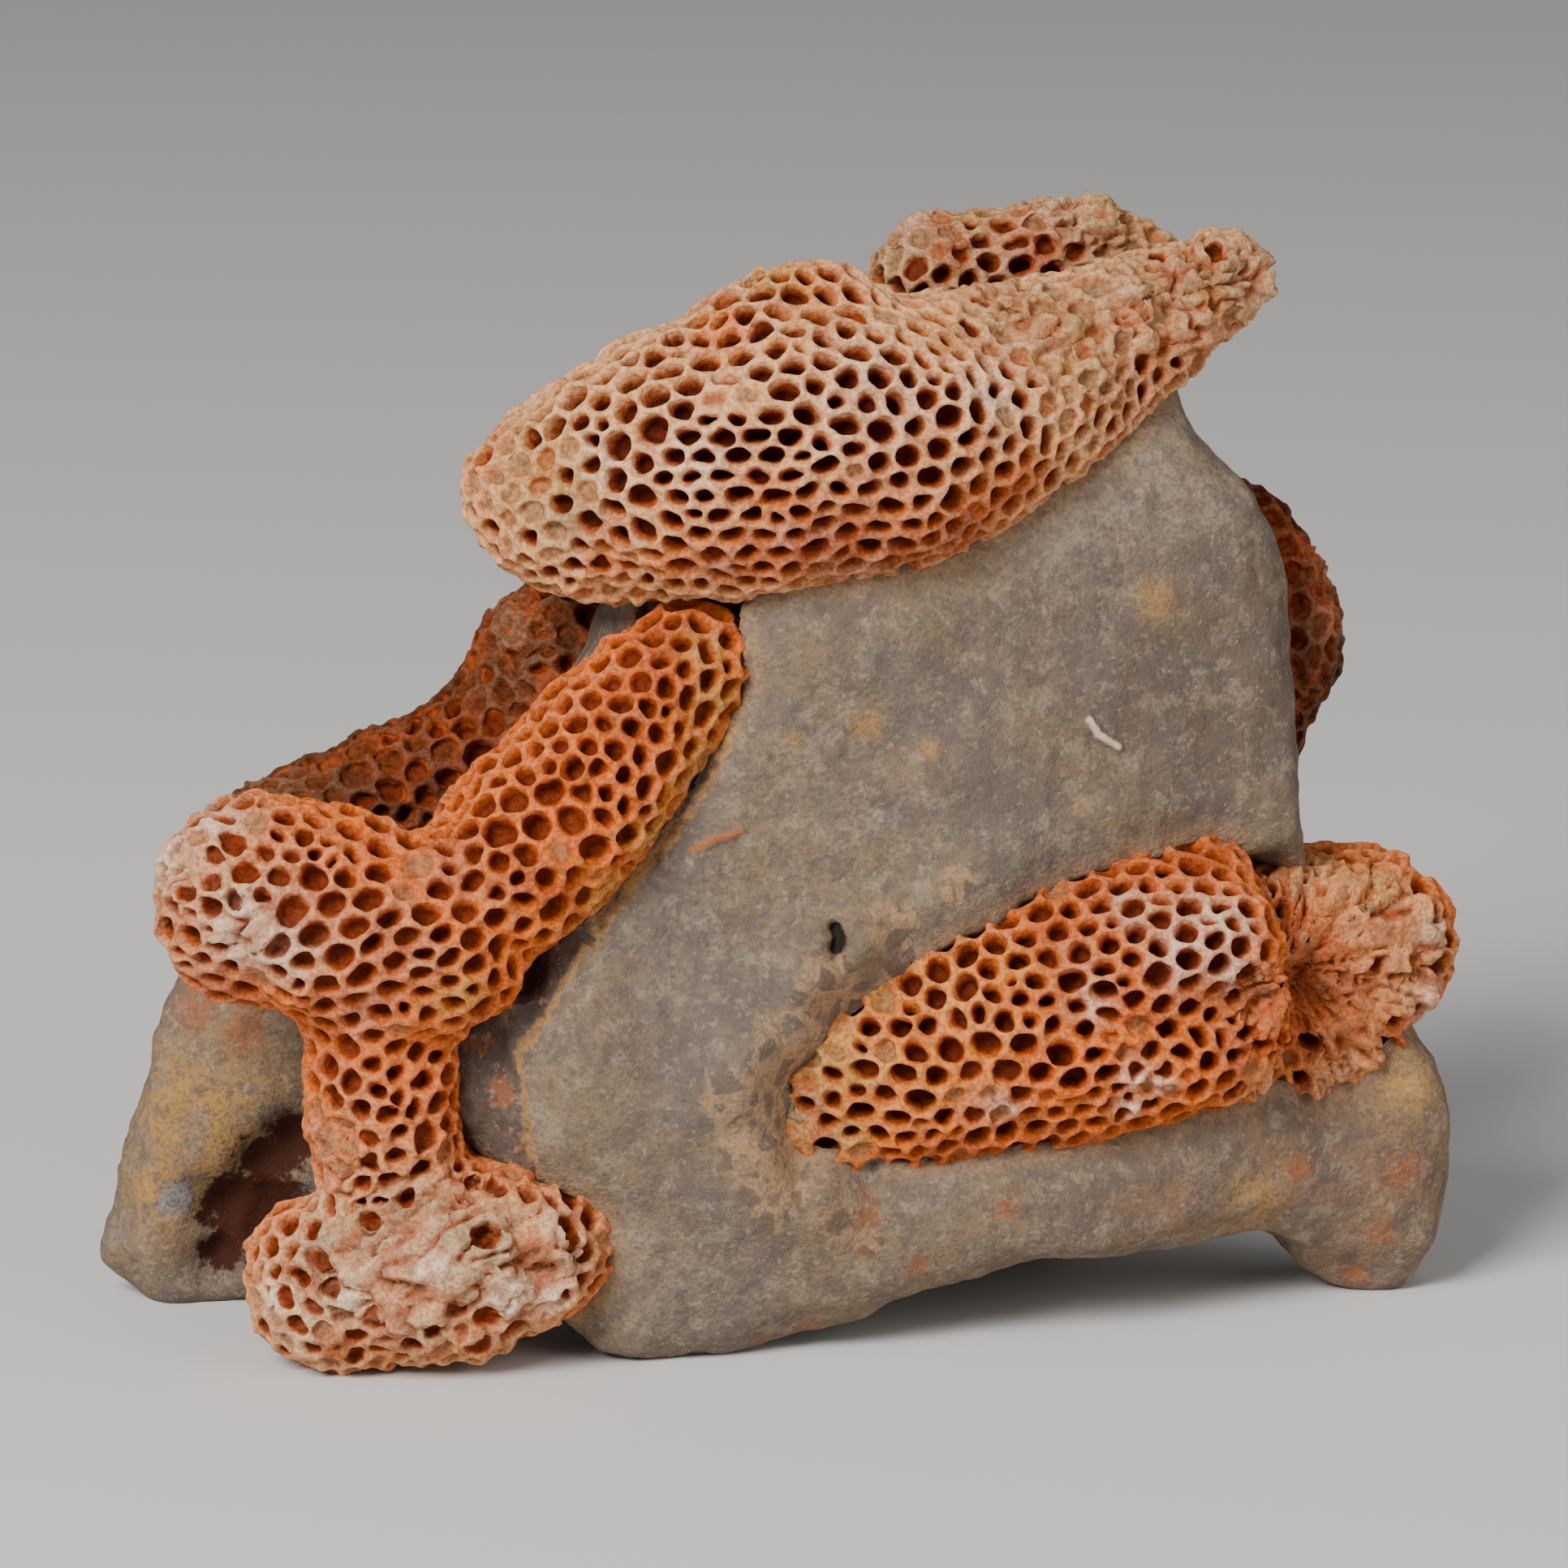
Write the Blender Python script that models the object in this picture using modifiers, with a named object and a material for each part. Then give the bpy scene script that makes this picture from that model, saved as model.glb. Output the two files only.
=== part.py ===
"""A fossil branching coral in the piece of grey limestone that it was found in.

The stone is one block. Broken lengths of coral branch lie in grooves of it, each one its own solid,
and a branch that forks is parted at the fork. The mouths of the coral's tubes are pits in its skin.
Places are in millimetres here: X to the right, Y away from the viewer, Z up, with Z = 0 the surface
that the fossil stands on.
"""

import random
from collections import namedtuple

import bmesh
import bpy
from mathutils import Vector, noise
from mathutils.bvhtree import BVHTree

MM = 0.001
PIT_PITCH = 1.75  # real tube mouths are 1.3 apart, so one pit stands for the mouths of nearly two
PIT_DEPTH = 0.95
RIM_UNEVEN = 0.12  # how far the corners between three tubes stand out or in
STONE_FACET = 3.2
GROOVE_FACET = 2.5
GROOVE_ROOM = 0.8  # between a branch and its groove, before the facets take their share
FORK_ROOM = 0.4  # between two arms where a fork is parted
FINE_VOXEL = 0.4
STONE_VOXEL = 0.7
VOXELS_TO_FACETS = 1.06  # voxel size that leaves about one point a facet
LONGEST_SIDE = 1.4  # of a facet, as a share of the side that is wanted
SHORTEST_SIDE = 0.62
EVENING_STEP = 0.6  # how far a point slides to the middle of its neighbours in one round
CORAL_LUMP = 0.3
CORAL_LUMP_SPAN = 3.5
STONE_LUMP = 0.35
STONE_LUMP_SPAN = 7.0
CORAL_SKIN = 0.3  # added all round, because fusing and facets wear the form down
STONE_SKIN = 0.65
BURIED = 0.35  # a tube whose mouth is this deep in the stone has no pit
BACK = 0.3  # nor has one that faces the back by more than this part of straight back
CUT_EDGE = 0.8  # no pit has its middle nearer to a cut face
BURIED_SHARE_KEPT = 0.12  # of the triangles that lie in the stone
BURIED_FIRST = 1000.0  # makes the thinning take these triangles before all others

# path and knobs are (x, y, z, radius), cuts are (a point, the side that goes), worn are balls with no pits.
Branch = namedtuple("Branch", "name colour path knobs cuts worn")

BRANCHES = [
    Branch(
        "upper_branch",
        colour=(0.58, 0.39, 0.28),
        path=[
            (-10.9, -3.0, 36.2, 2.5), (-8.9, -3.4, 37.0, 3.7), (-5.5, -3.8, 37.3, 5.2), (-2.2, -3.8, 37.8, 5.9),
            (1.1, -3.4, 38.2, 5.8), (4.5, -2.5, 38.5, 5.6), (7.9, -1.0, 39.2, 4.8), (11.3, 1.0, 40.5, 3.9),
            (14.7, 3.0, 42.1, 2.8), (18.2, 5.0, 43.6, 2.1),
        ],
        knobs=[
            (-0.8, -3.6, 44.0, 1.7), (1.9, -3.2, 44.3, 1.6), (3.0, -2.4, 42.6, 2.2), (-6.4, -4.4, 32.0, 1.0),
            (-9.2, -4.0, 34.6, 2.8),
        ],
        cuts=[],
        worn=[(18.5, 4.0, 43.0, 4.0), (-13.0, -4.0, 34.5, 2.6), (12.5, -1.5, 43.0, 3.4)],
    ),
    Branch(
        "rear_upper_branch",
        colour=(0.47, 0.33, 0.24),
        path=[
            (6.0, 6.6, 43.6, 2.6), (8.2, 7.2, 43.2, 3.0), (11.4, 8.0, 43.5, 3.3), (14.0, 8.6, 43.2, 2.7),
            (16.4, 9.2, 42.4, 2.0),
        ],
        knobs=[],
        cuts=[((8.0, 4.7, 42.0), (0.34, -1.0, 0.12))],
        worn=[(4.0, 6.0, 45.5, 2.2), (12.0, 7.5, 47.5, 2.0)],
    ),
    Branch(
        "left_arm",
        colour=(0.56, 0.22, 0.09),
        path=[
            (-3.7, -4.7, 29.2, 2.6), (-5.6, -5.1, 27.4, 3.3), (-8.2, -6.0, 24.6, 3.6), (-10.9, -7.0, 21.6, 3.7),
            (-14.0, -8.0, 19.0, 3.9),
        ],
        knobs=[],
        cuts=[((-12.6, -7.6, 20.2), (-0.8, -0.25, -0.55))],
        worn=[],
    ),
    Branch(
        "left_knob",
        colour=(0.53, 0.31, 0.22),
        path=[
            (-22.0, -9.0, 20.7, 3.5), (-19.4, -9.2, 19.9, 4.1), (-16.4, -8.8, 18.4, 4.3),
            (-13.0, -7.9, 19.0, 3.9),
        ],
        knobs=[(-23.4, -8.6, 19.6, 2.6), (-22.8, -8.6, 17.4, 1.9), (-20.8, -9.0, 22.4, 2.4)],
        cuts=[
            ((-12.6 - FORK_ROOM, -7.6, 20.2 - FORK_ROOM), (0.8, 0.25, 0.55)),
            ((-16.8, -8.4, 14.9 + FORK_ROOM), (-0.1, 0.1, -1.0)),
        ],
        worn=[(-20.0, -13.2, 18.6, 2.5), (-24.0, -10.5, 22.0, 2.4)],
    ),
    Branch(
        "lower_arm",
        colour=(0.58, 0.27, 0.14),
        path=[
            (-16.6, -8.7, 17.0, 3.8), (-16.8, -8.4, 14.4, 3.3), (-16.8, -8.0, 11.6, 3.0),
            (-16.4, -8.0, 8.6, 3.4),
        ],
        knobs=[],
        cuts=[((-16.8, -8.4, 14.9), (0.1, -0.1, 1.0)), ((-16.4, -8.0, 8.2 + FORK_ROOM), (0.15, 0.0, -1.0))],
        worn=[(-19.0, -9.0, 9.5, 1.8)],
    ),
    Branch(
        "lower_stump",
        colour=(0.62, 0.5, 0.37),
        path=[
            (-19.3, -7.8, 3.5, 3.2), (-16.3, -8.0, 4.1, 3.9), (-13.4, -8.0, 4.7, 4.1),
            (-10.4, -7.4, 5.2, 3.3),
        ],
        knobs=[(-18.8, -8.2, 2.6, 2.6), (-8.8, -7.6, 5.0, 2.0)],
        cuts=[((-16.4, -8.0, 8.2), (-0.15, 0.0, 1.0)), ((0.0, 0.0, 0.0), (0.0, 0.0, -1.0))],
        worn=[
            (-15.5, -12.0, 6.0, 2.6), (-12.5, -12.2, 5.0, 2.5), (-10.2, -11.0, 4.2, 1.8),
            (-13.5, -10.5, 7.4, 2.2),
        ],
    ),
    Branch(
        "right_branch",
        colour=(0.55, 0.27, 0.14),
        path=[
            (-0.2, -2.9, 9.3, 3.5), (4.6, -2.5, 11.8, 4.8), (8.0, -2.0, 13.0, 5.4), (11.4, -1.4, 13.8, 5.7),
            (14.8, -0.5, 14.6, 5.9), (17.4, 0.5, 15.0, 5.7),
        ],
        knobs=[],
        cuts=[((20.2, 0.0, 15.0), (1.0, 0.25, 0.1))],
        worn=[(16.8, -5.2, 11.4, 1.8)],
    ),
    Branch(
        "right_branch_end",
        colour=(0.58, 0.42, 0.3),
        path=[
            (19.5, 4.2, 14.4, 4.0), (21.4, 4.4, 14.8, 4.3), (23.6, 5.0, 15.3, 4.0),
            (25.2, 5.4, 15.4, 3.4),
        ],
        knobs=[
            (19.2, 2.0, 10.6, 1.9), (21.4, 2.4, 10.8, 2.1), (23.6, 3.2, 11.6, 2.2),
            (26.0, 4.6, 14.2, 2.4),
        ],
        cuts=[((20.2 + FORK_ROOM, 0.0, 15.0), (-1.0, -0.25, -0.1))],
        worn=[(24.0, 1.6, 17.6, 3.4), (27.5, 2.5, 15.0, 2.4)],
    ),
    Branch(
        "rear_left_branch",
        colour=(0.28, 0.15, 0.09),
        path=[
            (-6.6, 6.0, 31.6, 2.8), (-9.3, 5.0, 27.6, 3.4), (-11.9, 4.5, 23.8, 3.2), (-16.0, 3.5, 21.7, 3.2),
            (-19.7, 2.0, 20.8, 2.9), (-22.0, 0.6, 20.6, 2.5),
        ],
        knobs=[],
        cuts=[((-19.5, -2.9, 20.5), (0.0, -1.0, 0.15))],
        worn=[(-9.0, 4.0, 31.0, 2.4)],
    ),
    Branch(
        "rear_right_branch",
        colour=(0.3, 0.13, 0.08),
        path=[
            (19.4, 11.6, 31.2, 2.8), (20.6, 11.2, 27.4, 3.4), (18.6, 11.6, 22.8, 3.5),
            (15.4, 12.2, 18.6, 3.2),
        ],
        knobs=[],
        cuts=[],
        worn=[],
    ),
]

# The stone is the union of these blocks, each the hull of its corners, less the bites broken out of it.
BLOCKS = {
    "body": [
        (-2.5, -7.0, 32.5), (-2.0, -7.5, 28.6), (-8.0, -9.0, 18.5), (-11.2, -9.2, 13.6), (-11.0, -9.2, 8.5),
        (-9.6, -7.8, 1.4), (-2.2, -6.6, 0.5), (4.5, -5.2, 0.5), (15.8, -3.0, 1.5), (22.0, 0.5, 2.0),
        (21.6, 1.6, 20.6),
        (20.4, 1.6, 28.3), (20.3, 1.8, 35.4), (17.0, 2.4, 40.4), (11.0, -2.0, 36.5), (-3.5, -4.5, 34.5),
        (-6.0, 3.0, 33.0), (3.0, 8.5, 40.5), (14.0, 9.2, 41.0), (17.5, 10.5, 34.0), (19.5, 11.0, 20.0),
        (20.5, 9.5, 4.0), (2.0, 12.8, 33.0), (-8.0, 10.5, 26.0), (-14.5, 3.5, 19.0), (-14.5, -2.0, 15.5),
        (-14.0, -3.5, 2.5), (-12.0, 9.5, 6.0), (3.0, 14.5, 10.0), (12.0, 13.8, 6.0),
    ],
    "crest": [
        (-8.0, 0.6, 38.0), (-7.5, -1.0, 31.0), (3.5, 1.6, 41.0), (12.0, 4.6, 41.6), (16.0, 7.0, 40.0),
        (17.0, 9.5, 36.0), (12.0, 10.5, 36.0), (0.0, 8.0, 37.0), (-7.0, 5.0, 34.0), (-4.0, -3.6, 33.0),
        (9.0, -2.4, 34.0),
    ],
    "back_bank": [
        (-21.0, 3.6, 18.8), (-16.0, 6.4, 22.6), (-11.5, 7.4, 25.0), (-7.2, 8.6, 31.5), (-18.5, 8.6, 13.0),
        (-12.0, 11.0, 16.0), (-14.0, 2.0, 16.5), (-9.0, 2.6, 23.0), (-2.0, 9.5, 33.0), (2.0, 12.0, 30.0),
    ],
    "left_fin": [
        (-25.3, 1.0, 15.4), (-21.0, 0.2, 16.4), (-30.0, 1.8, 0.4), (-29.2, 2.2, -0.9), (-26.4, 3.4, -0.9),
        (-23.0, 2.4, 0.9), (-14.0, 3.0, 1.6), (-12.0, 0.5, 16.0), (-24.6, 4.6, 15.0), (-27.6, 5.4, 1.4),
        (-20.0, 8.0, 1.2), (-14.0, 8.0, 17.0), (-17.0, 6.4, 18.4),
    ],
    "right_foot": [
        (20.5, 0.4, 21.0), (27.7, 3.0, 11.4), (28.4, 3.4, 6.4), (28.4, 4.0, 1.9), (25.7, 4.2, -0.8),
        (24.7, 4.9, -0.8), (22.4, 3.6, 1.2), (20.0, 0.6, 6.0), (18.0, 0.0, 12.0), (26.6, 6.6, 10.5),
        (26.4, 8.4, -0.8), (24.0, 8.8, -0.8), (18.0, 10.0, 8.0), (19.0, 9.0, 20.0),
    ],
    "front_toe": [
        (-6.6, -6.0, -1.0), (-4.8, -6.4, -1.0), (-5.4, -4.4, -1.0), (-7.2, -7.0, 2.2), (-1.8, -6.8, 1.6),
        (-3.0, -3.0, 1.5), (-6.0, -3.0, 2.5),
    ],
    "rear_foot": [
        (4.0, 10.5, -1.0), (10.5, 9.5, -1.0), (11.0, 12.6, -1.0), (5.0, 13.4, -1.0), (1.0, 9.0, 5.0),
        (14.0, 8.0, 5.0), (12.5, 14.4, 7.0), (3.0, 15.0, 7.0),
    ],
}
# Balls: (x, y, z, radius).
BITES = [(6.0, -48.4, 24.0, 44.2), (-3.6, -16.5, 27.5, 8.2), (-22.2, 1.2, 4.4, 2.3), (26.9, 3.6, -0.4, 1.5)]
# Long hollows, drawn as branches are: (x, y, z, radius) along each.
HOLLOWS = [
    [
        (-4.5, -8.2, 31.5, 4.2), (-7.4, -9.0, 27.6, 5.0), (-10.8, -10.4, 22.6, 5.6), (-15.4, -11.4, 16.0, 6.4),
        (-16.8, -11.2, 9.0, 6.6), (-17.4, -11.0, 3.0, 5.4),
    ],
    [(-9.0, 0.5, 34.0, 3.4), (-12.0, -0.6, 28.5, 4.4), (-16.0, -1.5, 24.5, 3.4)],
    [(21.2, -3.0, 41.4, 5.7), (21.2, 5.0, 39.7, 5.7), (21.2, 15.0, 37.6, 5.7)],
]
# Straight tunnels under the front edge: (x, z, radius, from y, to y).
TUNNELS = [(12.0, -20.0, 23.8, -14.0, 7.5), (18.8, 1.5, 3.0, -14.0, 6.0)]

STONE_COLOUR = (0.30, 0.28, 0.25)


def clear_scene():
    for obj in list(bpy.data.objects):
        bpy.data.objects.remove(obj)


def collection(name):
    made = bpy.data.collections.new(name)
    bpy.context.scene.collection.children.link(made)
    return made


def finish(name, colour):
    material = bpy.data.materials.new(name)
    material.use_nodes = True
    shader = material.node_tree.nodes["Principled BSDF"]
    shader.inputs["Base Color"].default_value = (*colour, 1.0)
    shader.inputs["Roughness"].default_value = 0.85
    shader.inputs["Metallic"].default_value = 0.0
    return material


def add_object(name, bm, into):
    mesh = bpy.data.meshes.new(name)
    bm.to_mesh(mesh)
    bm.free()
    obj = bpy.data.objects.new(name, mesh)
    into.objects.link(obj)
    return obj


def evaluated(obj):
    """The object's mesh with its modifiers, as a bmesh, and the object removed."""
    bpy.context.view_layer.update()
    graph = bpy.context.evaluated_depsgraph_get()
    mesh = bpy.data.meshes.new_from_object(obj.evaluated_get(graph))
    bm = bmesh.new()
    bm.from_mesh(mesh)
    bpy.data.meshes.remove(mesh)
    bpy.data.objects.remove(obj)
    return bm


def tube(path, into):
    """A round tube through the path's points, with its radius at each."""
    curve = bpy.data.curves.new("tube", "CURVE")
    curve.dimensions = "3D"
    curve.bevel_depth = MM
    curve.bevel_resolution = 4
    curve.resolution_u = 4
    curve.use_fill_caps = True
    spline = curve.splines.new("BEZIER")
    spline.bezier_points.add(len(path) - 1)
    for point, (x, y, z, radius) in zip(spline.bezier_points, path):
        point.co = Vector((x, y, z)) * MM
        point.radius = radius
        point.handle_left_type = point.handle_right_type = "AUTO"
    obj = bpy.data.objects.new("tube", curve)
    into.objects.link(obj)
    bm = evaluated(obj)
    bmesh.ops.remove_doubles(bm, verts=bm.verts, dist=1e-6)
    return bm


def add_ball(bm, x, y, z, radius):
    made = bmesh.ops.create_icosphere(bm, subdivisions=3, radius=radius * MM)
    bmesh.ops.translate(bm, verts=made["verts"], vec=Vector((x, y, z)) * MM)


def fused(bm, voxel, into, smooth=2):
    """One closed skin round everything in bm."""
    obj = add_object("fused", bm, into)
    remesh = obj.modifiers.new("skin", "REMESH")
    remesh.mode = "VOXEL"
    remesh.voxel_size = voxel * MM
    soften = obj.modifiers.new("soften", "SMOOTH")
    soften.iterations = smooth
    return evaluated(obj)


def cut_flat(bm, point, side):
    """Cuts bm along a plane, drops what is on that side of it and closes the cut."""
    geometry = bm.verts[:] + bm.edges[:] + bm.faces[:]
    cut = bmesh.ops.bisect_plane(
        bm, geom=geometry, dist=1e-7, plane_co=Vector(point) * MM, plane_no=Vector(side), clear_outer=True
    )
    rim = [item for item in cut["geom_cut"] if isinstance(item, bmesh.types.BMEdge)]
    bmesh.ops.triangle_fill(bm, edges=rim, use_beauty=True, normal=Vector(side))
    bmesh.ops.recalc_face_normals(bm, faces=bm.faces)


def turn_edges(bm, rounds=4):
    """Turns edges round where that brings their points nearer to six edges each."""
    for _ in range(rounds):
        turned = 0
        for edge in list(bm.edges):
            if not edge.is_valid or len(edge.link_faces) != 2:
                continue
            ends = edge.verts[:]
            across = [v for face in edge.link_faces for v in face.verts if v not in ends]
            if len(across) != 2 or bm.edges.get(across):
                continue
            before = sum((len(v.link_edges) - 6) ** 2 for v in ends + across)
            after = sum((len(v.link_edges) - 7) ** 2 for v in ends)
            after += sum((len(v.link_edges) - 5) ** 2 for v in across)
            fold = edge.link_faces[0].normal.dot(edge.link_faces[1].normal)
            if after < before and fold > 0.5 and bmesh.utils.edge_rotate(edge, True):
                turned += 1
        if not turned:
            return


def drop_short_edges(bm, shortest):
    for edge in sorted(bm.edges, key=lambda e: e.calc_length())[: len(bm.edges) // 5]:
        if not edge.is_valid or edge.calc_length() > shortest:
            continue
        one, other = edge.verts
        shared = {e.other_vert(one) for e in one.link_edges} & {e.other_vert(other) for e in other.link_edges}
        if len(shared) == 2 and min(len(v.link_edges) for v in shared) > 3:
            bmesh.ops.pointmerge(bm, verts=[one, other], merge_co=(one.co + other.co) / 2)


def split_long_edges(bm, longest):
    edges = [e for e in bm.edges if e.calc_length() > longest]
    bmesh.ops.subdivide_edges(bm, edges=edges, cuts=1)
    bmesh.ops.triangulate(bm, faces=[f for f in bm.faces if len(f.verts) > 3])


def even_mesh(fine, facet, into, rounds=6):
    """The same shape in triangles of about equal sides, each side about one facet long."""
    skin = BVHTree.FromBMesh(fine)
    bm = fused(fine, facet * VOXELS_TO_FACETS, into, smooth=0)
    bmesh.ops.triangulate(bm, faces=bm.faces)
    for _ in range(rounds):
        split_long_edges(bm, LONGEST_SIDE * facet * MM)
        drop_short_edges(bm, SHORTEST_SIDE * facet * MM)
        turn_edges(bm)
        bm.normal_update()
        middles = [sum((e.other_vert(v).co for e in v.link_edges), Vector()) / len(v.link_edges) for v in bm.verts]
        for vert, middle in zip(bm.verts, middles):
            slide = middle - vert.co
            slide -= slide.dot(vert.normal) * vert.normal
            vert.co += EVENING_STEP * slide
        for vert in bm.verts:
            vert.co = skin.find_nearest(vert.co)[0]
    bm.normal_update()
    return bm


def lump(bm, height, span, seed):
    offset = Vector((seed * 7.3, seed * 3.1, seed * 5.7))
    for vert in bm.verts:
        vert.co += vert.normal * noise.noise(vert.co / (span * MM) + offset) * height * MM
    bm.normal_update()


def grow(bm, distance):
    bm.normal_update()
    for vert, normal in [(v, v.normal.copy()) for v in bm.verts]:
        vert.co += normal * distance * MM


def branch_body(branch, seed, into):
    """The branch's outer form, with its ends rounded, no pits and nothing cut off yet."""
    bm = tube(branch.path, into)
    for ball in (branch.path[0], branch.path[-1], *branch.knobs):
        add_ball(bm, *ball)
    bm = fused(bm, FINE_VOXEL, into)
    grow(bm, CORAL_SKIN)
    lump(bm, CORAL_LUMP, CORAL_LUMP_SPAN, seed)
    return bm


def thin_out_buried(bm, stone_skin, into):
    """Fewer, larger triangles where the branch lies in the stone."""
    depth = PIT_PITCH + BURIED
    buried = [vert.index for vert in bm.verts if inside(stone_skin, vert.co, depth)]
    hidden = set(buried)
    hidden_faces = sum(1 for face in bm.faces if all(vert.index in hidden for vert in face.verts))
    if not hidden_faces:
        return bm
    share = hidden_faces / len(bm.faces)
    obj = add_object("buried", bm, into)
    obj.vertex_groups.new(name="buried").add(buried, 1.0, "REPLACE")
    thin = obj.modifiers.new("thin", "DECIMATE")
    thin.ratio = 1.0 - share * (1.0 - BURIED_SHARE_KEPT)
    thin.vertex_group = "buried"
    thin.vertex_group_factor = BURIED_FIRST
    return evaluated(obj)


def inside(skin, point, margin):
    """Whether the point is at least the margin inside the closed skin."""
    nearest, normal, _, distance = skin.find_nearest(point)
    return (point - nearest).dot(normal) < 0 and distance > margin * MM


def open_pits(bm, branch, stone_skin, seed):
    """Sinks a pit at every point of the mesh that shows, with ridges round it that meet in threes."""
    rng = random.Random(seed)
    tube_mouths = []
    for vert in bm.verts:
        buried = inside(stone_skin, vert.co, BURIED)
        faces_back = vert.normal.y > BACK
        worn = any((vert.co - Vector((x, y, z)) * MM).length < r * MM for x, y, z, r in branch.worn)
        near_cut = any(
            (Vector(point) * MM - vert.co).dot(Vector(side).normalized()) < CUT_EDGE * MM
            for point, side in branch.cuts
        )
        if not (buried or faces_back or worn or near_cut):
            tube_mouths.append(vert)
    inward = [(vert, vert.normal.copy()) for vert in tube_mouths]
    faces = list({face for vert in tube_mouths for face in vert.link_faces})
    sides = {edge for vert in tube_mouths for edge in vert.link_edges}
    corners = bmesh.ops.poke(bm, faces=faces)["verts"]
    bmesh.ops.rotate_edges(bm, edges=list(sides), use_ccw=False)
    bm.normal_update()
    for corner in corners:
        corner.co += corner.normal * rng.uniform(-RIM_UNEVEN, RIM_UNEVEN) * MM
    for vert, normal in inward:
        vert.co -= normal * PIT_DEPTH * rng.uniform(0.8, 1.1) * MM


def hull_object(name, corners, into):
    bm = bmesh.new()
    for corner in corners:
        bm.verts.new(Vector(corner) * MM)
    bmesh.ops.convex_hull(bm, input=bm.verts)
    bmesh.ops.delete(bm, geom=[v for v in bm.verts if not v.link_faces], context="VERTS")
    bmesh.ops.recalc_face_normals(bm, faces=bm.faces)
    return add_object(name, bm, into)


def boolean(obj, other, operation):
    modifier = obj.modifiers.new(other.name, "BOOLEAN")
    modifier.operation = operation
    modifier.solver = "EXACT"
    modifier.object = other


def helper(obj):
    obj.hide_render = True
    obj.display_type = "WIRE"
    return obj


def tunnel(x, z, radius, start, end, into):
    bm = bmesh.new()
    bmesh.ops.create_cone(
        bm, cap_ends=True, segments=48, radius1=radius * MM, radius2=radius * MM, depth=(end - start) * MM
    )
    lie_along_y = Vector((0, 0, 1)).rotation_difference(Vector((0, 1, 0))).to_matrix()
    bmesh.ops.rotate(bm, verts=bm.verts, matrix=lie_along_y)
    bmesh.ops.translate(bm, verts=bm.verts, vec=Vector((x, (start + end) / 2, z)) * MM)
    return add_object("tunnel", bm, into)


def stone_body(into):
    """The stone with its hollows and its softened edges, before the coral's grooves."""
    bm = bmesh.new()
    for name, corners in BLOCKS.items():
        block = hull_object(name, corners, into)
        bm.from_mesh(block.data)
        bpy.data.objects.remove(block)
    stone = add_object("stone_blocks", fused(bm, STONE_VOXEL, into, smooth=0), into)
    cutters = [tunnel(*numbers, into) for numbers in TUNNELS]
    for bite in BITES:
        ball = bmesh.new()
        add_ball(ball, *bite)
        cutters.append(add_object("bite", ball, into))
    for path in HOLLOWS:
        hollow = tube(path, into)
        for ball in (path[0], path[-1]):
            add_ball(hollow, *ball)
        cutters.append(add_object("hollow", fused(hollow, STONE_VOXEL, into), into))
    for cutter in cutters:
        boolean(stone, helper(cutter), "DIFFERENCE")
    bm = evaluated(stone)
    for cutter in cutters:
        bpy.data.objects.remove(cutter)
    bm = fused(bm, STONE_VOXEL, into, smooth=3)
    grow(bm, STONE_SKIN)
    lump(bm, STONE_LUMP, STONE_LUMP_SPAN, seed=3)
    return bm


def centre_over_origin(shown, cutters):
    """Moves everything level, so that the middle of the whole fossil's box is over the origin."""
    bpy.context.view_layer.update()
    graph = bpy.context.evaluated_depsgraph_get()
    corners = [Vector(corner) for obj in shown.objects for corner in obj.evaluated_get(graph).bound_box]
    for obj in (*shown.objects, *cutters.objects):
        for axis in (0, 1):
            low = min(corner[axis] for corner in corners)
            high = max(corner[axis] for corner in corners)
            obj.location[axis] = -(low + high) / 2


def build():
    clear_scene()
    shown = collection("fossil_coral")
    cutters = collection("grooves")
    cutters.hide_render = True

    stone = even_mesh(stone_body(cutters), STONE_FACET, cutters)
    cut_flat(stone, (0, 0, 0), (0, 0, -1))
    stone_skin = BVHTree.FromBMesh(stone)
    matrix = add_object("matrix", stone, shown)
    matrix.data.materials.append(finish("limestone", STONE_COLOUR))

    for seed, branch in enumerate(BRANCHES):
        body = branch_body(branch, seed, cutters)
        groove = even_mesh(body.copy(), GROOVE_FACET, cutters, rounds=3)
        grow(groove, GROOVE_ROOM)
        boolean(matrix, helper(add_object("groove_" + branch.name, groove, cutters)), "DIFFERENCE")
        for point, side in branch.cuts:
            cut_flat(body, point, side)
        coral = thin_out_buried(even_mesh(body, PIT_PITCH, cutters), stone_skin, cutters)
        open_pits(coral, branch, stone_skin, seed)
        obj = add_object(branch.name, coral, shown)
        obj.data.materials.append(finish(branch.name, branch.colour))
    centre_over_origin(shown, cutters)


build()
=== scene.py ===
"""The looks of a fossil branching coral in its piece of grey limestone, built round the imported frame.

Each coral gets a new skin whose tube mouths stand at their real spacing. The stone gets a new skin that
reaches up to the corals. Places on the front are given as pixels of the 1932-pixel photograph, and a ray
from the camera through each finds the point on the fossil. Sizes are in millimetres unless they say
otherwise.
"""

import functools
import math
import random
from collections import defaultdict, namedtuple

import bmesh
import bpy
import numpy as np
from bpy.props import FloatProperty, FloatVectorProperty, IntProperty, PointerProperty
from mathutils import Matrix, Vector, noise
from mathutils.bvhtree import BVHTree


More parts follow.
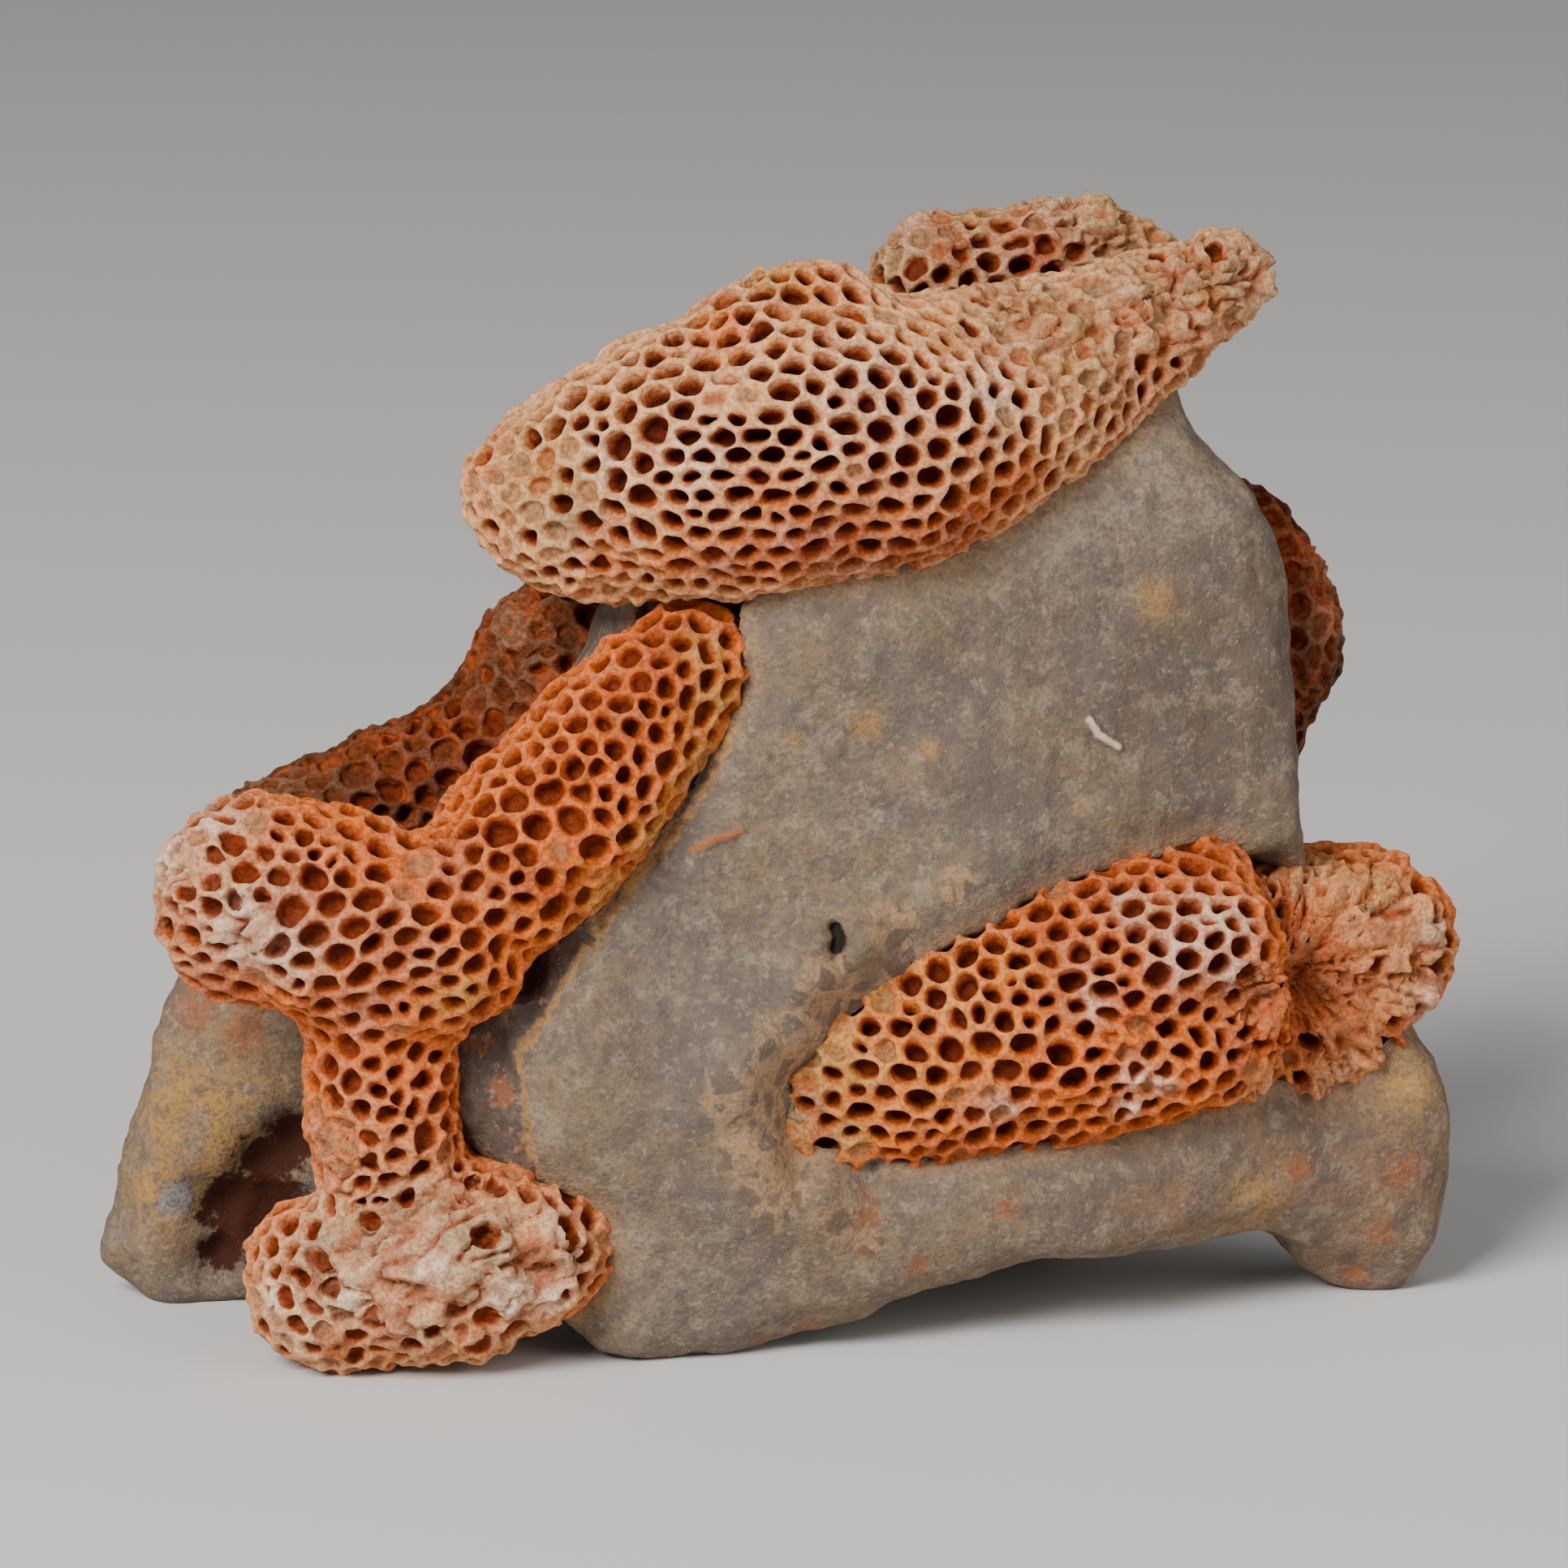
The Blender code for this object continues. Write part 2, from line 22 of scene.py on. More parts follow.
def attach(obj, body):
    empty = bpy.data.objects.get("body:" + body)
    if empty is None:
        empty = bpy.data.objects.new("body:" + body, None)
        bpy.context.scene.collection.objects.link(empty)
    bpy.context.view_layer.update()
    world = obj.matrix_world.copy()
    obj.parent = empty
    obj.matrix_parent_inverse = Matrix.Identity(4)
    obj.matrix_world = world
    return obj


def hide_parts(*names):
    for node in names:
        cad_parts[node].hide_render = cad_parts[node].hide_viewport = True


bl_info = {
    "name": "Fossil coral in limestone",
    "version": (1, 0, 0),
    "blender": (4, 5, 0),
    "location": "3D View > Sidebar > Fossil",
    "description": "Makes the surfaces of a branching fossil coral and of the stone that holds it",
    "category": "Add Mesh",
}

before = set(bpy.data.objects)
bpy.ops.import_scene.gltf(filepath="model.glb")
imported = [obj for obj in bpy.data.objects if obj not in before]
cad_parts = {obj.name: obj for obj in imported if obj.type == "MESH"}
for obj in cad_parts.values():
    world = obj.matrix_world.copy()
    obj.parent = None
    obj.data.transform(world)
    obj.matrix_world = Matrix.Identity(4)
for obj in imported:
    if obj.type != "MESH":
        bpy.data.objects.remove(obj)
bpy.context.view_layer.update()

MM = 0.001
PHOTO_SIDE = 1932
VIEW_WIDTH = 65.7  # what the photograph's whole width shows at the fossil
VIEW_DISTANCE = 340.0
VIEW_ELEVATION = math.radians(12.0)
VIEW_TARGET = Vector((0.426, -1.013, 23.1))
SENSOR_WIDTH = 36.0

BODY_VOXEL = 0.36
BODY_CLOSING = 0.36  # closes the gaps at the forks
BODY_SMOOTHING = 5
BODY_SKIN = 0.08  # a coral's smooth form stands this far out from the frame's
PIT_SIGN = 0.3  # a frame vertex this far below its neighbours is the bottom of a pit
BURIED = (0.22, 1.4)  # a mouth whose middle is this deep in the stone's skin is hidden
SWELL = 0.55  # how far a coral's form swells above and below the smooth form
SWELL_SPAN = 3.1
SWELL_SINK = 0.15  # the share of a swell that it is lowered by
RUBBLE_SWELL = 0.9
RUBBLE_SPAN = 1.5
RUBBLE_SINK = 0.2
HELD_WIDTH = 2.4  # this near to the stone a coral's form swells less
HELD_RISE = 0.12  # and stands this high where it meets the stone

SPOT_FADE = 0.7  # how steeply a spot fades from its middle
RAGGED = (0.5, 1.3)  # how far, and in what span, a spot without mouths has a ragged edge

EVEN_START = 1.06  # an even mesh starts with voxels of this many pitches
EVEN_SIDES = (0.62, 1.4)  # its shortest and longest sides, in pitches
EVEN_SLIDE = 0.6  # how far its points slide to the middle of their neighbours, from 0 to 1
EVEN_ROUNDS = 6

RIM_HEIGHTS = (-0.06, 0.36)  # how high the corners of the walls stand
RIM_JITTER = 0.45  # how far they stray, as a share of half a wall
RIM_LOSS = 0.9  # the share of their height that they lose beside the stone
RIM_DIP = 0.05  # from the middle of a wall to its inner edge
RIM_SPLIT = (0.7, 0.5)  # the shares of half a wall on top and on its slope
RIM_PIT = 0.12  # how deep a wall's inner edge counts as in the colours, from 0 to 1
FULL_PIT = 0.4  # and the top of what fills a mouth
# What each spot adds to the chance that a mouth is filled, and what the stone beside it adds.
FILLED_CHANCE = 0.75
RUBBLE_CHANCE = 0.6
EDGE_CHANCE = 0.4
WORN_FROM = 0.3  # mouths are worn shallow from this weight of rubble
# Shares of the depth and of the wall thickness that the mouths take by chance.
OPEN_DEPTHS = (0.75, 0.9, 1.0, 1.15)
WORN_DEPTHS = (0.35, 0.55)
FILLED_DEPTHS = (0.15, 0.3)
WALL_SHARES = (0.7, 1.0, 1.25)

LUMP = 0.11  # the height of the fine lumps all over
RUBBLE_LUMP = 0.22  # what rubble adds to it
LUMP_SPAN = 0.45
BARE = 0.05  # broken coral starts at this weight
BARE_RISE = 0.3
BARE_LUMP = 0.3
BARE_LUMP_SPAN = 0.35
STREAK_SHARE = 0.72  # how far folds are drawn out along a streak, from 0 to 1
FAN_SHARE = 0.25  # a fan's folds are 1 / this as long as they would be otherwise
FOLD_DEPTH = 0.8
FOLD_SPAN = 0.7
FOLD_STEEPNESS = 4.0
FOLD_SWELL = 0.7  # of the broad folds under them
FOLD_SWELL_SPAN = 1.9
CARVED = 0.02  # rises over this follow the smooth form's direction

STONE_VOXEL = 0.3
STONE_SMOOTHING = 22
STONE_SKIN = 0.12
STONE_LUMPS = ((0.22, 3.2), (0.1, 1.1), (0.06, 0.5))  # their heights and spans
STONE_REACH = 1.9  # the stone closes up to a coral from this far
STONE_TOUCH = 1.05  # nearer than this it meets the coral
STONE_OVERLAP = 0.3  # and goes this far under its skin
SEAM_ROUNDS = 4  # how often the closed up stone is smoothed
BANK_HEIGHT = 1.7  # of the stone beside the right coral's left end
LOW_BANK = 0.15  # above this the bank closes up to the corals
GHOST_PITCH = 1.35  # of worn-down mouths in the stone's face
STRIP_WIDTH = 4.5  # of the strip of painted shade left of the ridge line
STRIP_LUMP = (0.3, 0.8)  # its height and span
STRIP_SINK = 0.25
FAR_OFF = 9.0  # distances from a line aren't told apart past this
MARK_REACH = 1.0  # the stone's mesh is finer this near to a mark
EDGE_WIDTH = 1.5  # stone and coral are stained this far from where they meet

MOST_TRIANGLES = 185_000  # in one coral
KEPT_SHARE = 0.72  # the most of its triangles that it keeps

# Place and size of each soft light, and the floor's size, in metres.
KEY_LIGHT = ((-0.26, -0.44, 0.38), 0.26)
FILL_LIGHT = ((0.45, -0.30, 0.22), 0.4)
FLOOR_SIZE = 3.0

# A spot is (x, y, radius): x and y are pixels of the photograph, the radius is in millimetres.
# One coral. It replaces the nodes, and its base is the colour of its walls, by its name in CoralSettings.
# Deepness is the depth of its mouths, and the strength of the painted shade at their bottoms, as a share of
# the deepest. Where it is broken, folds run along the streak direction, or out from the fan's pixel, and the
# fan's third value sets how many there are.
# Broken spots have no mouths, filled ones have mouths full of sediment, rubble is worn and lumpy, and in wide
# ones the mouths are joined to one. Paints are (colour, strength, spots). Relief and carving are (height,
# spots): relief swells the form before the mouths open, and carving swells the finished surface.
Coral = namedtuple(
    "Coral",
    "name nodes slot seed base deepness streak paints broken filled rubble relief carving wide fan",
    defaults=((), (), (), None),
)

CORALS = [
    Coral(
        "upper_coral", ("upper_branch",), "coral_cream", 11, "cream", 1.0, (0.9, 0.3, 0.3),
        paints=[
            ("orange", 0.85, [
                (760, 690, 1.2), (830, 700, 1.4), (900, 690, 1.5), (980, 680, 1.5), (1060, 672, 1.5),
                (1140, 660, 1.5), (1200, 630, 1.4), (1260, 590, 1.2), (960, 620, 1.2), (1100, 620, 1.2),
                (900, 400, 1.3), (1000, 350, 1.0), (600, 560, 1.0),
            ]),
            ("rust", 0.95, [
                (1000, 675, 1.8), (1060, 675, 1.8), (1120, 675, 1.6), (1190, 655, 1.5), (890, 700, 1.1),
                (1250, 610, 1.1), (940, 690, 1.3),
            ]),
            ("brown", 0.3, [(1020, 690, 1.2), (1100, 685, 1.2), (1180, 665, 1.2), (900, 715, 0.9)]),
            ("white", 0.45, [(1080, 480, 1.8), (860, 560, 1.2), (1220, 480, 1.4), (740, 570, 1.0)]),
            ("ochre", 0.7, [(680, 600, 1.8), (640, 560, 1.4), (960, 345, 1.2), (820, 740, 1.2)]),
            ("tan", 0.85, [
                (1330, 400, 2.6), (1430, 350, 2.4), (1260, 370, 2.0), (1180, 350, 1.6), (1360, 470, 1.5),
            ]),
            ("ochre", 0.5, [(1240, 390, 1.0), (1330, 420, 1.2), (1180, 410, 0.9), (1490, 360, 1.4)]),
            ("rust", 0.6, [(1420, 460, 1.2), (1480, 420, 1.2), (1230, 340, 0.9)]),
            ("grey", 0.45, [(1545, 335, 2.0), (700, 640, 1.2)]),
        ],
        relief=[
            (-0.7, [(1230, 400, 1.4), (880, 440, 0.9), (1330, 440, 1.2)]),
            (0.5, [(960, 340, 1.0), (1040, 340, 0.9), (1290, 370, 0.9), (1400, 350, 0.9)]),
        ],
        broken=[
            (1545, 335, 2.2), (1300, 400, 1.2), (1400, 390, 1.4), (1240, 360, 0.9), (1470, 400, 1.2),
            (1460, 340, 1.1),
        ],
        filled=[
            (650, 580, 2.0), (700, 660, 1.5), (600, 540, 1.5), (1250, 380, 1.8), (1340, 400, 2.4),
            (1430, 370, 2.2), (1350, 470, 1.4),
        ],
        rubble=[
            (1250, 390, 1.9), (1330, 400, 2.4), (1420, 380, 2.4), (1490, 360, 2.2), (1180, 360, 1.4),
            (1330, 480, 1.4), (760, 720, 1.0), (620, 600, 1.2),
        ],
    ),
    Coral(
        "rear_upper_coral", ("rear_upper_branch",), "coral_cream", 12, "tan", 0.9, (1.0, 0.0, 0.1),
        paints=[
            ("bone", 0.4, [(1320, 250, 1.8), (1130, 265, 1.0)]),
            # painted shade in the wide mouth
            ("dark", 0.8, [(1268, 328, 0.8)]),
            ("rust", 0.7, [(1270, 310, 1.6), (1180, 300, 1.2)]),
            ("ochre", 0.5, [(1370, 260, 1.4), (1200, 260, 1.2)]),
        ],
        broken=[(1345, 255, 1.6), (1120, 265, 1.0)],
        filled=[(1330, 250, 1.8), (1160, 260, 1.6)],
        rubble=[(1400, 300, 2.0), (1100, 300, 1.4), (1300, 250, 2.0), (1200, 255, 1.4)],
        wide=[(1270, 322, 0.85), (1195, 300, 0.7)],
    ),
    Coral(
        "left_forked_coral", ("left_arm", "left_knob", "lower_arm", "lower_stump"), "coral_orange", 13,
        "orange", 0.74, (0.9, 0.0, 0.42),
        paints=[
            ("pink", 0.8, [
                (230, 1060, 2.6), (290, 1030, 2.2), (350, 1100, 2.2), (400, 1160, 2.0), (470, 1150, 1.6),
                (560, 1070, 1.2), (440, 1240, 1.6), (520, 1180, 1.2), (260, 1180, 1.8),
                (190, 1090, 2.6), (240, 1210, 2.0), (320, 1250, 1.4),
            ]),
            ("bone", 0.7, [
                (205, 1070, 2.0), (290, 1130, 1.8), (250, 1010, 1.6), (350, 1180, 1.2), (190, 1130, 1.6),
            ]),
            ("rust", 0.6, [
                (560, 1060, 1.0), (660, 1090, 1.2), (380, 1290, 1.4), (270, 1220, 1.4), (830, 780, 1.0),
            ]),
            ("rust", 0.75, [(820, 790, 1.6), (760, 880, 1.1), (700, 960, 0.9), (800, 840, 1.4)]),
            ("ochre", 0.85, [
                (870, 800, 0.9), (885, 870, 1.2), (855, 950, 1.2), (800, 1030, 1.1), (745, 1110, 1.1),
                (660, 1190, 1.1), (570, 1230, 1.0),
            ]),
            ("white", 0.9, [
                (300, 1125, 1.0), (340, 1165, 1.0), (205, 1060, 0.8), (290, 1160, 0.8), (265, 1020, 0.6),
            ]),
            ("pink", 0.7, [(400, 1420, 1.4), (440, 1360, 1.2), (400, 1470, 1.0)]),
            ("cream", 1.0, [
                (400, 1580, 3.0), (520, 1540, 3.2), (620, 1570, 3.2), (700, 1550, 2.6), (380, 1640, 2.6),
                (520, 1620, 2.6), (315, 1600, 2.6), (400, 1690, 3.0), (560, 1680, 2.6), (650, 1640, 2.6),
            ]),
            ("bone", 0.85, [
                (400, 1570, 2.4), (500, 1550, 2.6), (600, 1560, 2.4), (690, 1540, 1.6), (500, 1630, 2.0),
                (370, 1640, 1.8), (620, 1620, 1.8),
            ]),
            ("grey", 0.7, [
                (400, 1530, 0.8), (450, 1515, 0.9), (500, 1495, 0.9), (550, 1480, 0.8), (600, 1520, 0.8),
                (650, 1545, 0.8), (570, 1520, 0.7), (600, 1590, 0.6),
            ]),
            ("white", 0.95, [
                (470, 1560, 0.7), (530, 1565, 0.75), (630, 1600, 0.7), (690, 1520, 0.6), (680, 1600, 0.6),
                (430, 1600, 0.6), (340, 1600, 0.6),
            ]),
            ("orange", 0.8, [(485, 1585, 0.6), (530, 1600, 0.5), (510, 1515, 0.4), (660, 1530, 0.5)]),
            ("rust", 0.85, [
                (560, 1620, 0.6), (380, 1580, 0.5), (350, 1560, 0.5), (670, 1565, 0.6), (720, 1500, 0.6),
                (600, 1640, 0.6), (480, 1650, 0.7), (330, 1660, 0.7), (410, 1670, 0.7), (540, 1670, 0.6),
            ]),
        ],
        relief=[
            (0.45, [(290, 1120, 0.8), (335, 1160, 0.8), (225, 1050, 0.8)]),
            (-0.4, [(310, 1050, 0.8)]),
        ],
        carving=[
            (0.5, [(300, 1125, 0.5), (335, 1165, 0.5), (265, 1020, 0.4), (275, 1085, 0.4)]),
            (0.55, [(470, 1560, 0.6), (530, 1565, 0.7), (630, 1600, 0.7), (690, 1520, 0.5)]),
            (-0.9, [
                (485, 1590, 0.45), (565, 1620, 0.5), (670, 1565, 0.45), (395, 1570, 0.4), (440, 1545, 0.3),
                (600, 1570, 0.3), (640, 1510, 0.35), (530, 1610, 0.35), (450, 1615, 0.4), (700, 1510, 0.35),
            ]),
            (-0.6, [(395, 1440, 0.5), (425, 1400, 0.45), (450, 1450, 0.4), (320, 1060, 0.4)]),
        ],
        broken=[
            (540, 1540, 2.5), (630, 1570, 2.2), (450, 1550, 2.0), (310, 1140, 1.2), (400, 1440, 0.9),
            (215, 1080, 1.0), (560, 1490, 1.5), (500, 1600, 1.4), (690, 1550, 1.0),
        ],
        filled=[(230, 1060, 1.4), (360, 1400, 1.2)],
        rubble=[
            (640, 1480, 1.4), (340, 1640, 1.8), (430, 1650, 1.6), (560, 1640, 1.4), (420, 1420, 1.6),
            (680, 1560, 1.4), (240, 1050, 1.4), (740, 1090, 1.0), (560, 1390, 1.0),
        ],
    ),
    Coral(
        "right_forked_coral", ("right_branch", "right_branch_end"), "coral_orange", 14,
        "orange", 0.9, (0.8, 0.3, 0.3), fan=(1585, 1195, 7.0),
        paints=[
            ("amber", 0.7, [(1150, 1220, 2.0), (1130, 1330, 2.0), (1220, 1260, 1.6), (1250, 1190, 1.2)]),
            ("ochre", 0.9, [
                (960, 1390, 1.8), (1010, 1290, 1.8), (1070, 1210, 1.2), (1060, 1320, 0.9), (1160, 1140, 0.9),
                (930, 1320, 1.4), (1040, 1400, 1.0),
            ]),
            ("grey", 0.55, [(930, 1420, 1.3), (960, 1300, 1.2), (1000, 1360, 0.9)]),
            ("rust", 0.85, [
                (1260, 1080, 1.3), (1340, 1050, 1.5), (1430, 1030, 1.5), (1520, 1020, 1.3), (1180, 1430, 1.2),
                (1290, 1420, 1.1), (1400, 1400, 1.0), (1300, 1150, 1.0), (1480, 1060, 1.0),
            ]),
            ("pink", 0.85, [(1450, 1130, 1.6), (1390, 1120, 1.3), (1340, 1210, 1.2), (1220, 1360, 0.9)]),
            ("white", 0.75, [
                (1510, 1140, 1.2), (1460, 1180, 1.1), (1520, 1200, 0.9), (1400, 1120, 0.6), (1350, 1240, 0.6),
            ]),
            ("cream", 0.95, [
                (1620, 1080, 2.2), (1700, 1120, 2.6), (1740, 1190, 2.2), (1660, 1320, 2.0), (1560, 1340, 1.4),
            ]),
            ("ochre", 0.6, [(1640, 1060, 1.0), (1690, 1090, 0.9), (1760, 1200, 0.8)]),
            ("rust", 0.85, [
                (1585, 1050, 0.6), (1630, 1170, 1.0), (1595, 1130, 1.0), (1620, 1220, 1.2), (1690, 1060, 0.5),
                (1540, 1300, 1.0), (1590, 1270, 1.1), (1660, 1210, 1.0), (1700, 1150, 0.5), (1660, 1270, 0.8),
            ]),
            ("white", 0.85, [
                (1400, 1330, 0.6), (1390, 1365, 0.5), (1430, 1340, 0.5), (1770, 1150, 0.8), (1760, 1230, 0.9),
                (1240, 1370, 0.5), (1580, 1350, 0.35), (1620, 1345, 0.35), (1660, 1325, 0.35),
            ]),
            # painted shade in the hollow under the branch's broken end
            ("dark", 0.9, [(1510, 1245, 0.8), (1560, 1230, 0.9), (1605, 1215, 0.8), (1475, 1262, 0.6)]),
        ],
        relief=[
            (-1.2, [(1530, 1240, 0.9), (1590, 1222, 0.9), (1480, 1262, 0.8)]),
            (-0.5, [(1330, 1270, 0.8)]),
            (0.4, [(1490, 1160, 1.2)]),
        ],
        carving=[
            (0.45, [(1215, 1350, 0.4), (1245, 1375, 0.4), (1400, 1330, 0.4), (1395, 1365, 0.4)]),
            (0.5, [
                (1545, 1355, 0.3), (1582, 1350, 0.3), (1620, 1342, 0.3), (1655, 1328, 0.3), (1690, 1308, 0.3),
                (1722, 1282, 0.3),
            ]),
            (-0.5, [
                (1563, 1330, 0.3), (1600, 1325, 0.3), (1638, 1315, 0.3), (1672, 1300, 0.3), (1705, 1278, 0.3),
            ]),
            (-1.1, [(1510, 1245, 0.6), (1555, 1232, 0.8), (1600, 1218, 0.8), (1590, 1045, 0.35)]),
            (0.35, [(1770, 1160, 0.5), (1765, 1215, 0.5), (1730, 1090, 0.4)]),
        ],
        broken=[
            (1700, 1110, 2.2), (1620, 1090, 1.8), (1560, 1240, 1.4), (1660, 1300, 1.8), (1740, 1190, 1.8),
            (1570, 1330, 1.2), (1610, 1180, 1.8), (1650, 1220, 1.6),
        ],
        filled=[(930, 1400, 2.0), (980, 1290, 1.6), (1030, 1210, 1.1), (1010, 1380, 0.9)],
        rubble=[(1220, 1350, 1.0), (1400, 1280, 1.2), (1420, 1350, 1.2), (1560, 1330, 1.2)],
    ),
    # The rear branches' dark brown walls are partly their own colour and partly painted shade.
    Coral(
        "rear_left_coral", ("rear_left_branch",), "coral_brown", 15, "brown", 0.8, (0.8, 0.0, 0.5),
        paints=[
            ("tan", 0.25, [(640, 760, 1.6), (340, 960, 1.2)]),
            ("rust", 0.5, [(560, 900, 1.4), (480, 920, 1.2)]),
        ],
        broken=[(640, 770, 1.3)],
        filled=[(630, 790, 2.0), (350, 960, 1.8)],
        rubble=[(480, 920, 2.2), (360, 960, 2.0), (640, 840, 1.6)],
    ),
    Coral(
        "rear_right_coral", ("rear_right_branch",), "coral_brown", 16, "brown", 0.8, (0.2, 0.0, 1.0),
        paints=[
            ("pink", 0.6, [(1630, 700, 1.0), (1640, 760, 1.0)]),
            ("rust", 0.6, [(1600, 680, 1.2)]),
        ],
        relief=[(-0.5, [(1605, 770, 0.7)])],
        broken=[(1620, 700, 1.0)],
        filled=[(1640, 740, 1.6)],
        rubble=[(1620, 700, 2.0), (1610, 860, 1.6)],
    ),
]

# The bright line along the stone's front ridge, from top to bottom.
RIDGE_LINE = [
    (880, 770), (912, 850), (895, 920), (870, 970), (780, 1090), (690, 1220), (640, 1300), (655, 1420),
]
STONE_PAINTS = {
    "stain": [
        (1070, 1500, 0.7), (1240, 1490, 0.7), (1065, 1540, 0.5), (1600, 1440, 0.9), (1730, 1440, 1.2),
        (1700, 1520, 0.9), (1000, 1650, 0.8), (940, 1655, 0.7), (1670, 1570, 0.8), (240, 1240, 1.3),
        (300, 1270, 1.3), (280, 1540, 0.9), (310, 1480, 1.5), (1130, 1560, 0.6),
    ],
    "blotch": [(1070, 895, 0.9), (1145, 925, 0.6), (1330, 990, 0.6), (1420, 740, 1.3), (980, 910, 0.5)],
    "brown": [(1500, 840, 5.0), (1380, 1480, 2.4)],
    "lobe": [(1590, 1440, 3.2), (1700, 1480, 3.6), (1650, 1560, 2.4), (1440, 1480, 2.0)],
    # painted light: paler spots where the stone's face is lit
    "light": [(1400, 560, 3.4), (1320, 640, 2.4), (1500, 580, 2.4), (760, 1560, 2.4)],
    # painted shade: spots where the stone's face lies in shadow
    "shade": [(1370, 830, 1.6), (1210, 960, 1.6), (840, 1330, 1.8), (1010, 1250, 1.3), (860, 1460, 1.5)],
    "yellow": [(240, 1380, 3.0), (190, 1470, 2.0), (300, 1370, 1.6), (1640, 1600, 1.2), (1730, 1330, 1.4)],
    "blue": [(215, 1480, 0.9)],
    # the fin's hollow: a dark red stain, deepened towards black by painted shade
    "cavity": [
        (330, 1440, 1.3), (290, 1490, 1.4), (330, 1500, 1.6), (275, 1550, 1.0), (325, 1560, 1.2),
        (365, 1410, 1.2), (380, 1480, 1.6),
    ],
    "ghost": [
        (940, 1400, 2.2), (975, 1300, 2.0), (1020, 1210, 1.4), (960, 1470, 1.4), (1100, 1140, 1.1),
        (1180, 1090, 0.8), (900, 1350, 1.2), (1030, 1500, 1.0),
        (790, 1030, 0.8), (740, 1120, 0.7), (620, 1230, 0.8), (850, 730, 0.8), (1070, 1530, 0.6),
    ],
}
# Marks drawn along a line: its points, then half its width.
MARKS = {
    "shell": ([(1340, 886), (1353, 906), (1378, 920)], 0.18),
    "sliver": ([(852, 1048), (880, 1034), (912, 1024)], 0.2),
    # painted shade fills this hole with near-black
    "hole": ([(1031, 1146), (1036, 1158), (1032, 1170)], 0.3),
}
# How far marks and the fin's hollow stand out of the stone.
MARK_RISES = {"shell": 0.25, "sliver": 0.2, "hole": -0.9, "cavity": -1.3}
BANK = [
    (930, 1310, 2.6), (1000, 1210, 1.6), (960, 1430, 2.4), (1060, 1170, 1.2), (1010, 1460, 1.4),
    (980, 1380, 2.2), (980, 1290, 1.8),
]


def view_axes():
    away = Vector((0.0, math.cos(VIEW_ELEVATION), -math.sin(VIEW_ELEVATION)))
    right = Vector((1.0, 0.0, 0.0))
    return right, right.cross(away), away


def camera_place():
    return VIEW_TARGET - view_axes()[2] * VIEW_DISTANCE


def merged_copy(nodes):
    bm = bmesh.new()
    for node in nodes:
        bm.from_mesh(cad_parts[node].data)
    bmesh.ops.remove_doubles(bm, verts=bm.verts, dist=1e-6)
    bmesh.ops.scale(bm, verts=bm.verts, vec=Vector((1, 1, 1)) / MM)
    return bm


def neighbours_middle(vert):
    return sum((edge.other_vert(vert).co for edge in vert.link_edges), Vector()) / len(vert.link_edges)


def cut_to_triangles(bm):
    bmesh.ops.triangulate(bm, faces=[face for face in bm.faces if len(face.verts) > 3])


def fill_pits(bm):
    """Takes out the bottoms of the frame's coarse pits, so that only the branch's form is left."""
    bm.normal_update()
    bottoms = []
    for vert in bm.verts:
        if (neighbours_middle(vert) - vert.co).dot(vert.normal) > PIT_SIGN:
            bottoms.append(vert)
    bmesh.ops.dissolve_verts(bm, verts=bottoms)
    cut_to_triangles(bm)


def grow(bm, distance):
    bm.normal_update()
    for vert, normal in [(vert, vert.normal.copy()) for vert in bm.verts]:
        vert.co += normal * distance
    bm.normal_update()


def as_mesh(bm):
    mesh = bpy.data.meshes.new("work")
    bm.to_mesh(mesh)
    bm.free()
    return mesh


def as_bmesh(mesh):
    bm = bmesh.new()
    bm.from_mesh(mesh)
    bpy.data.meshes.remove(mesh)
    return bm


def through_modifiers(bm, *modifiers):
    """bm after each modifier, given as (its type, its settings). It works on a millimetre mesh."""
    mesh = as_mesh(bm)
    obj = bpy.data.objects.new("work", mesh)
    bpy.context.scene.collection.objects.link(obj)
    for kind, settings in modifiers:
        modifier = obj.modifiers.new(kind, kind)
        for key, value in settings.items():
            setattr(modifier, key, value)
    bpy.context.view_layer.update()
    graph = bpy.context.evaluated_depsgraph_get()
    result = bpy.data.meshes.new_from_object(obj.evaluated_get(graph))
    bpy.data.objects.remove(obj)
    bpy.data.meshes.remove(mesh)
    return as_bmesh(result)


def remeshed(bm, voxel, smoothing):
    return through_modifiers(
        bm, ("REMESH", {"mode": "VOXEL", "voxel_size": voxel}), ("SMOOTH", {"iterations": smoothing})
    )


@functools.cache
def coral_form(nodes):
    """(fine bmesh, its search tree) of the smooth form of one coral, with its forks closed."""
    bm = merged_copy(nodes)
    fill_pits(bm)
    grow(bm, BODY_CLOSING)
    bm = remeshed(bm, BODY_VOXEL, BODY_SMOOTHING)
    grow(bm, BODY_SKIN - BODY_CLOSING)
    return bm, BVHTree.FromBMesh(bm)


def coral_skins():
    return [coral_form(coral.nodes)[1] for coral in CORALS]


def closed_up(point):
    """Where the stone's point goes to close the stone up to a coral, or None far from them all."""
    best = None
    for skin in coral_skins():
        place, normal, _, distance = skin.find_nearest(point, STONE_REACH)
        if place is not None and (best is None or distance < best[2]):
            best = (place, normal, distance)
    if best is None:
        return None
    place, normal, distance = best
    pull = min(1.0, (STONE_REACH - distance) / (STONE_REACH - STONE_TOUCH))
    return point.lerp(place - normal * STONE_OVERLAP, pull * pull * (3 - 2 * pull))


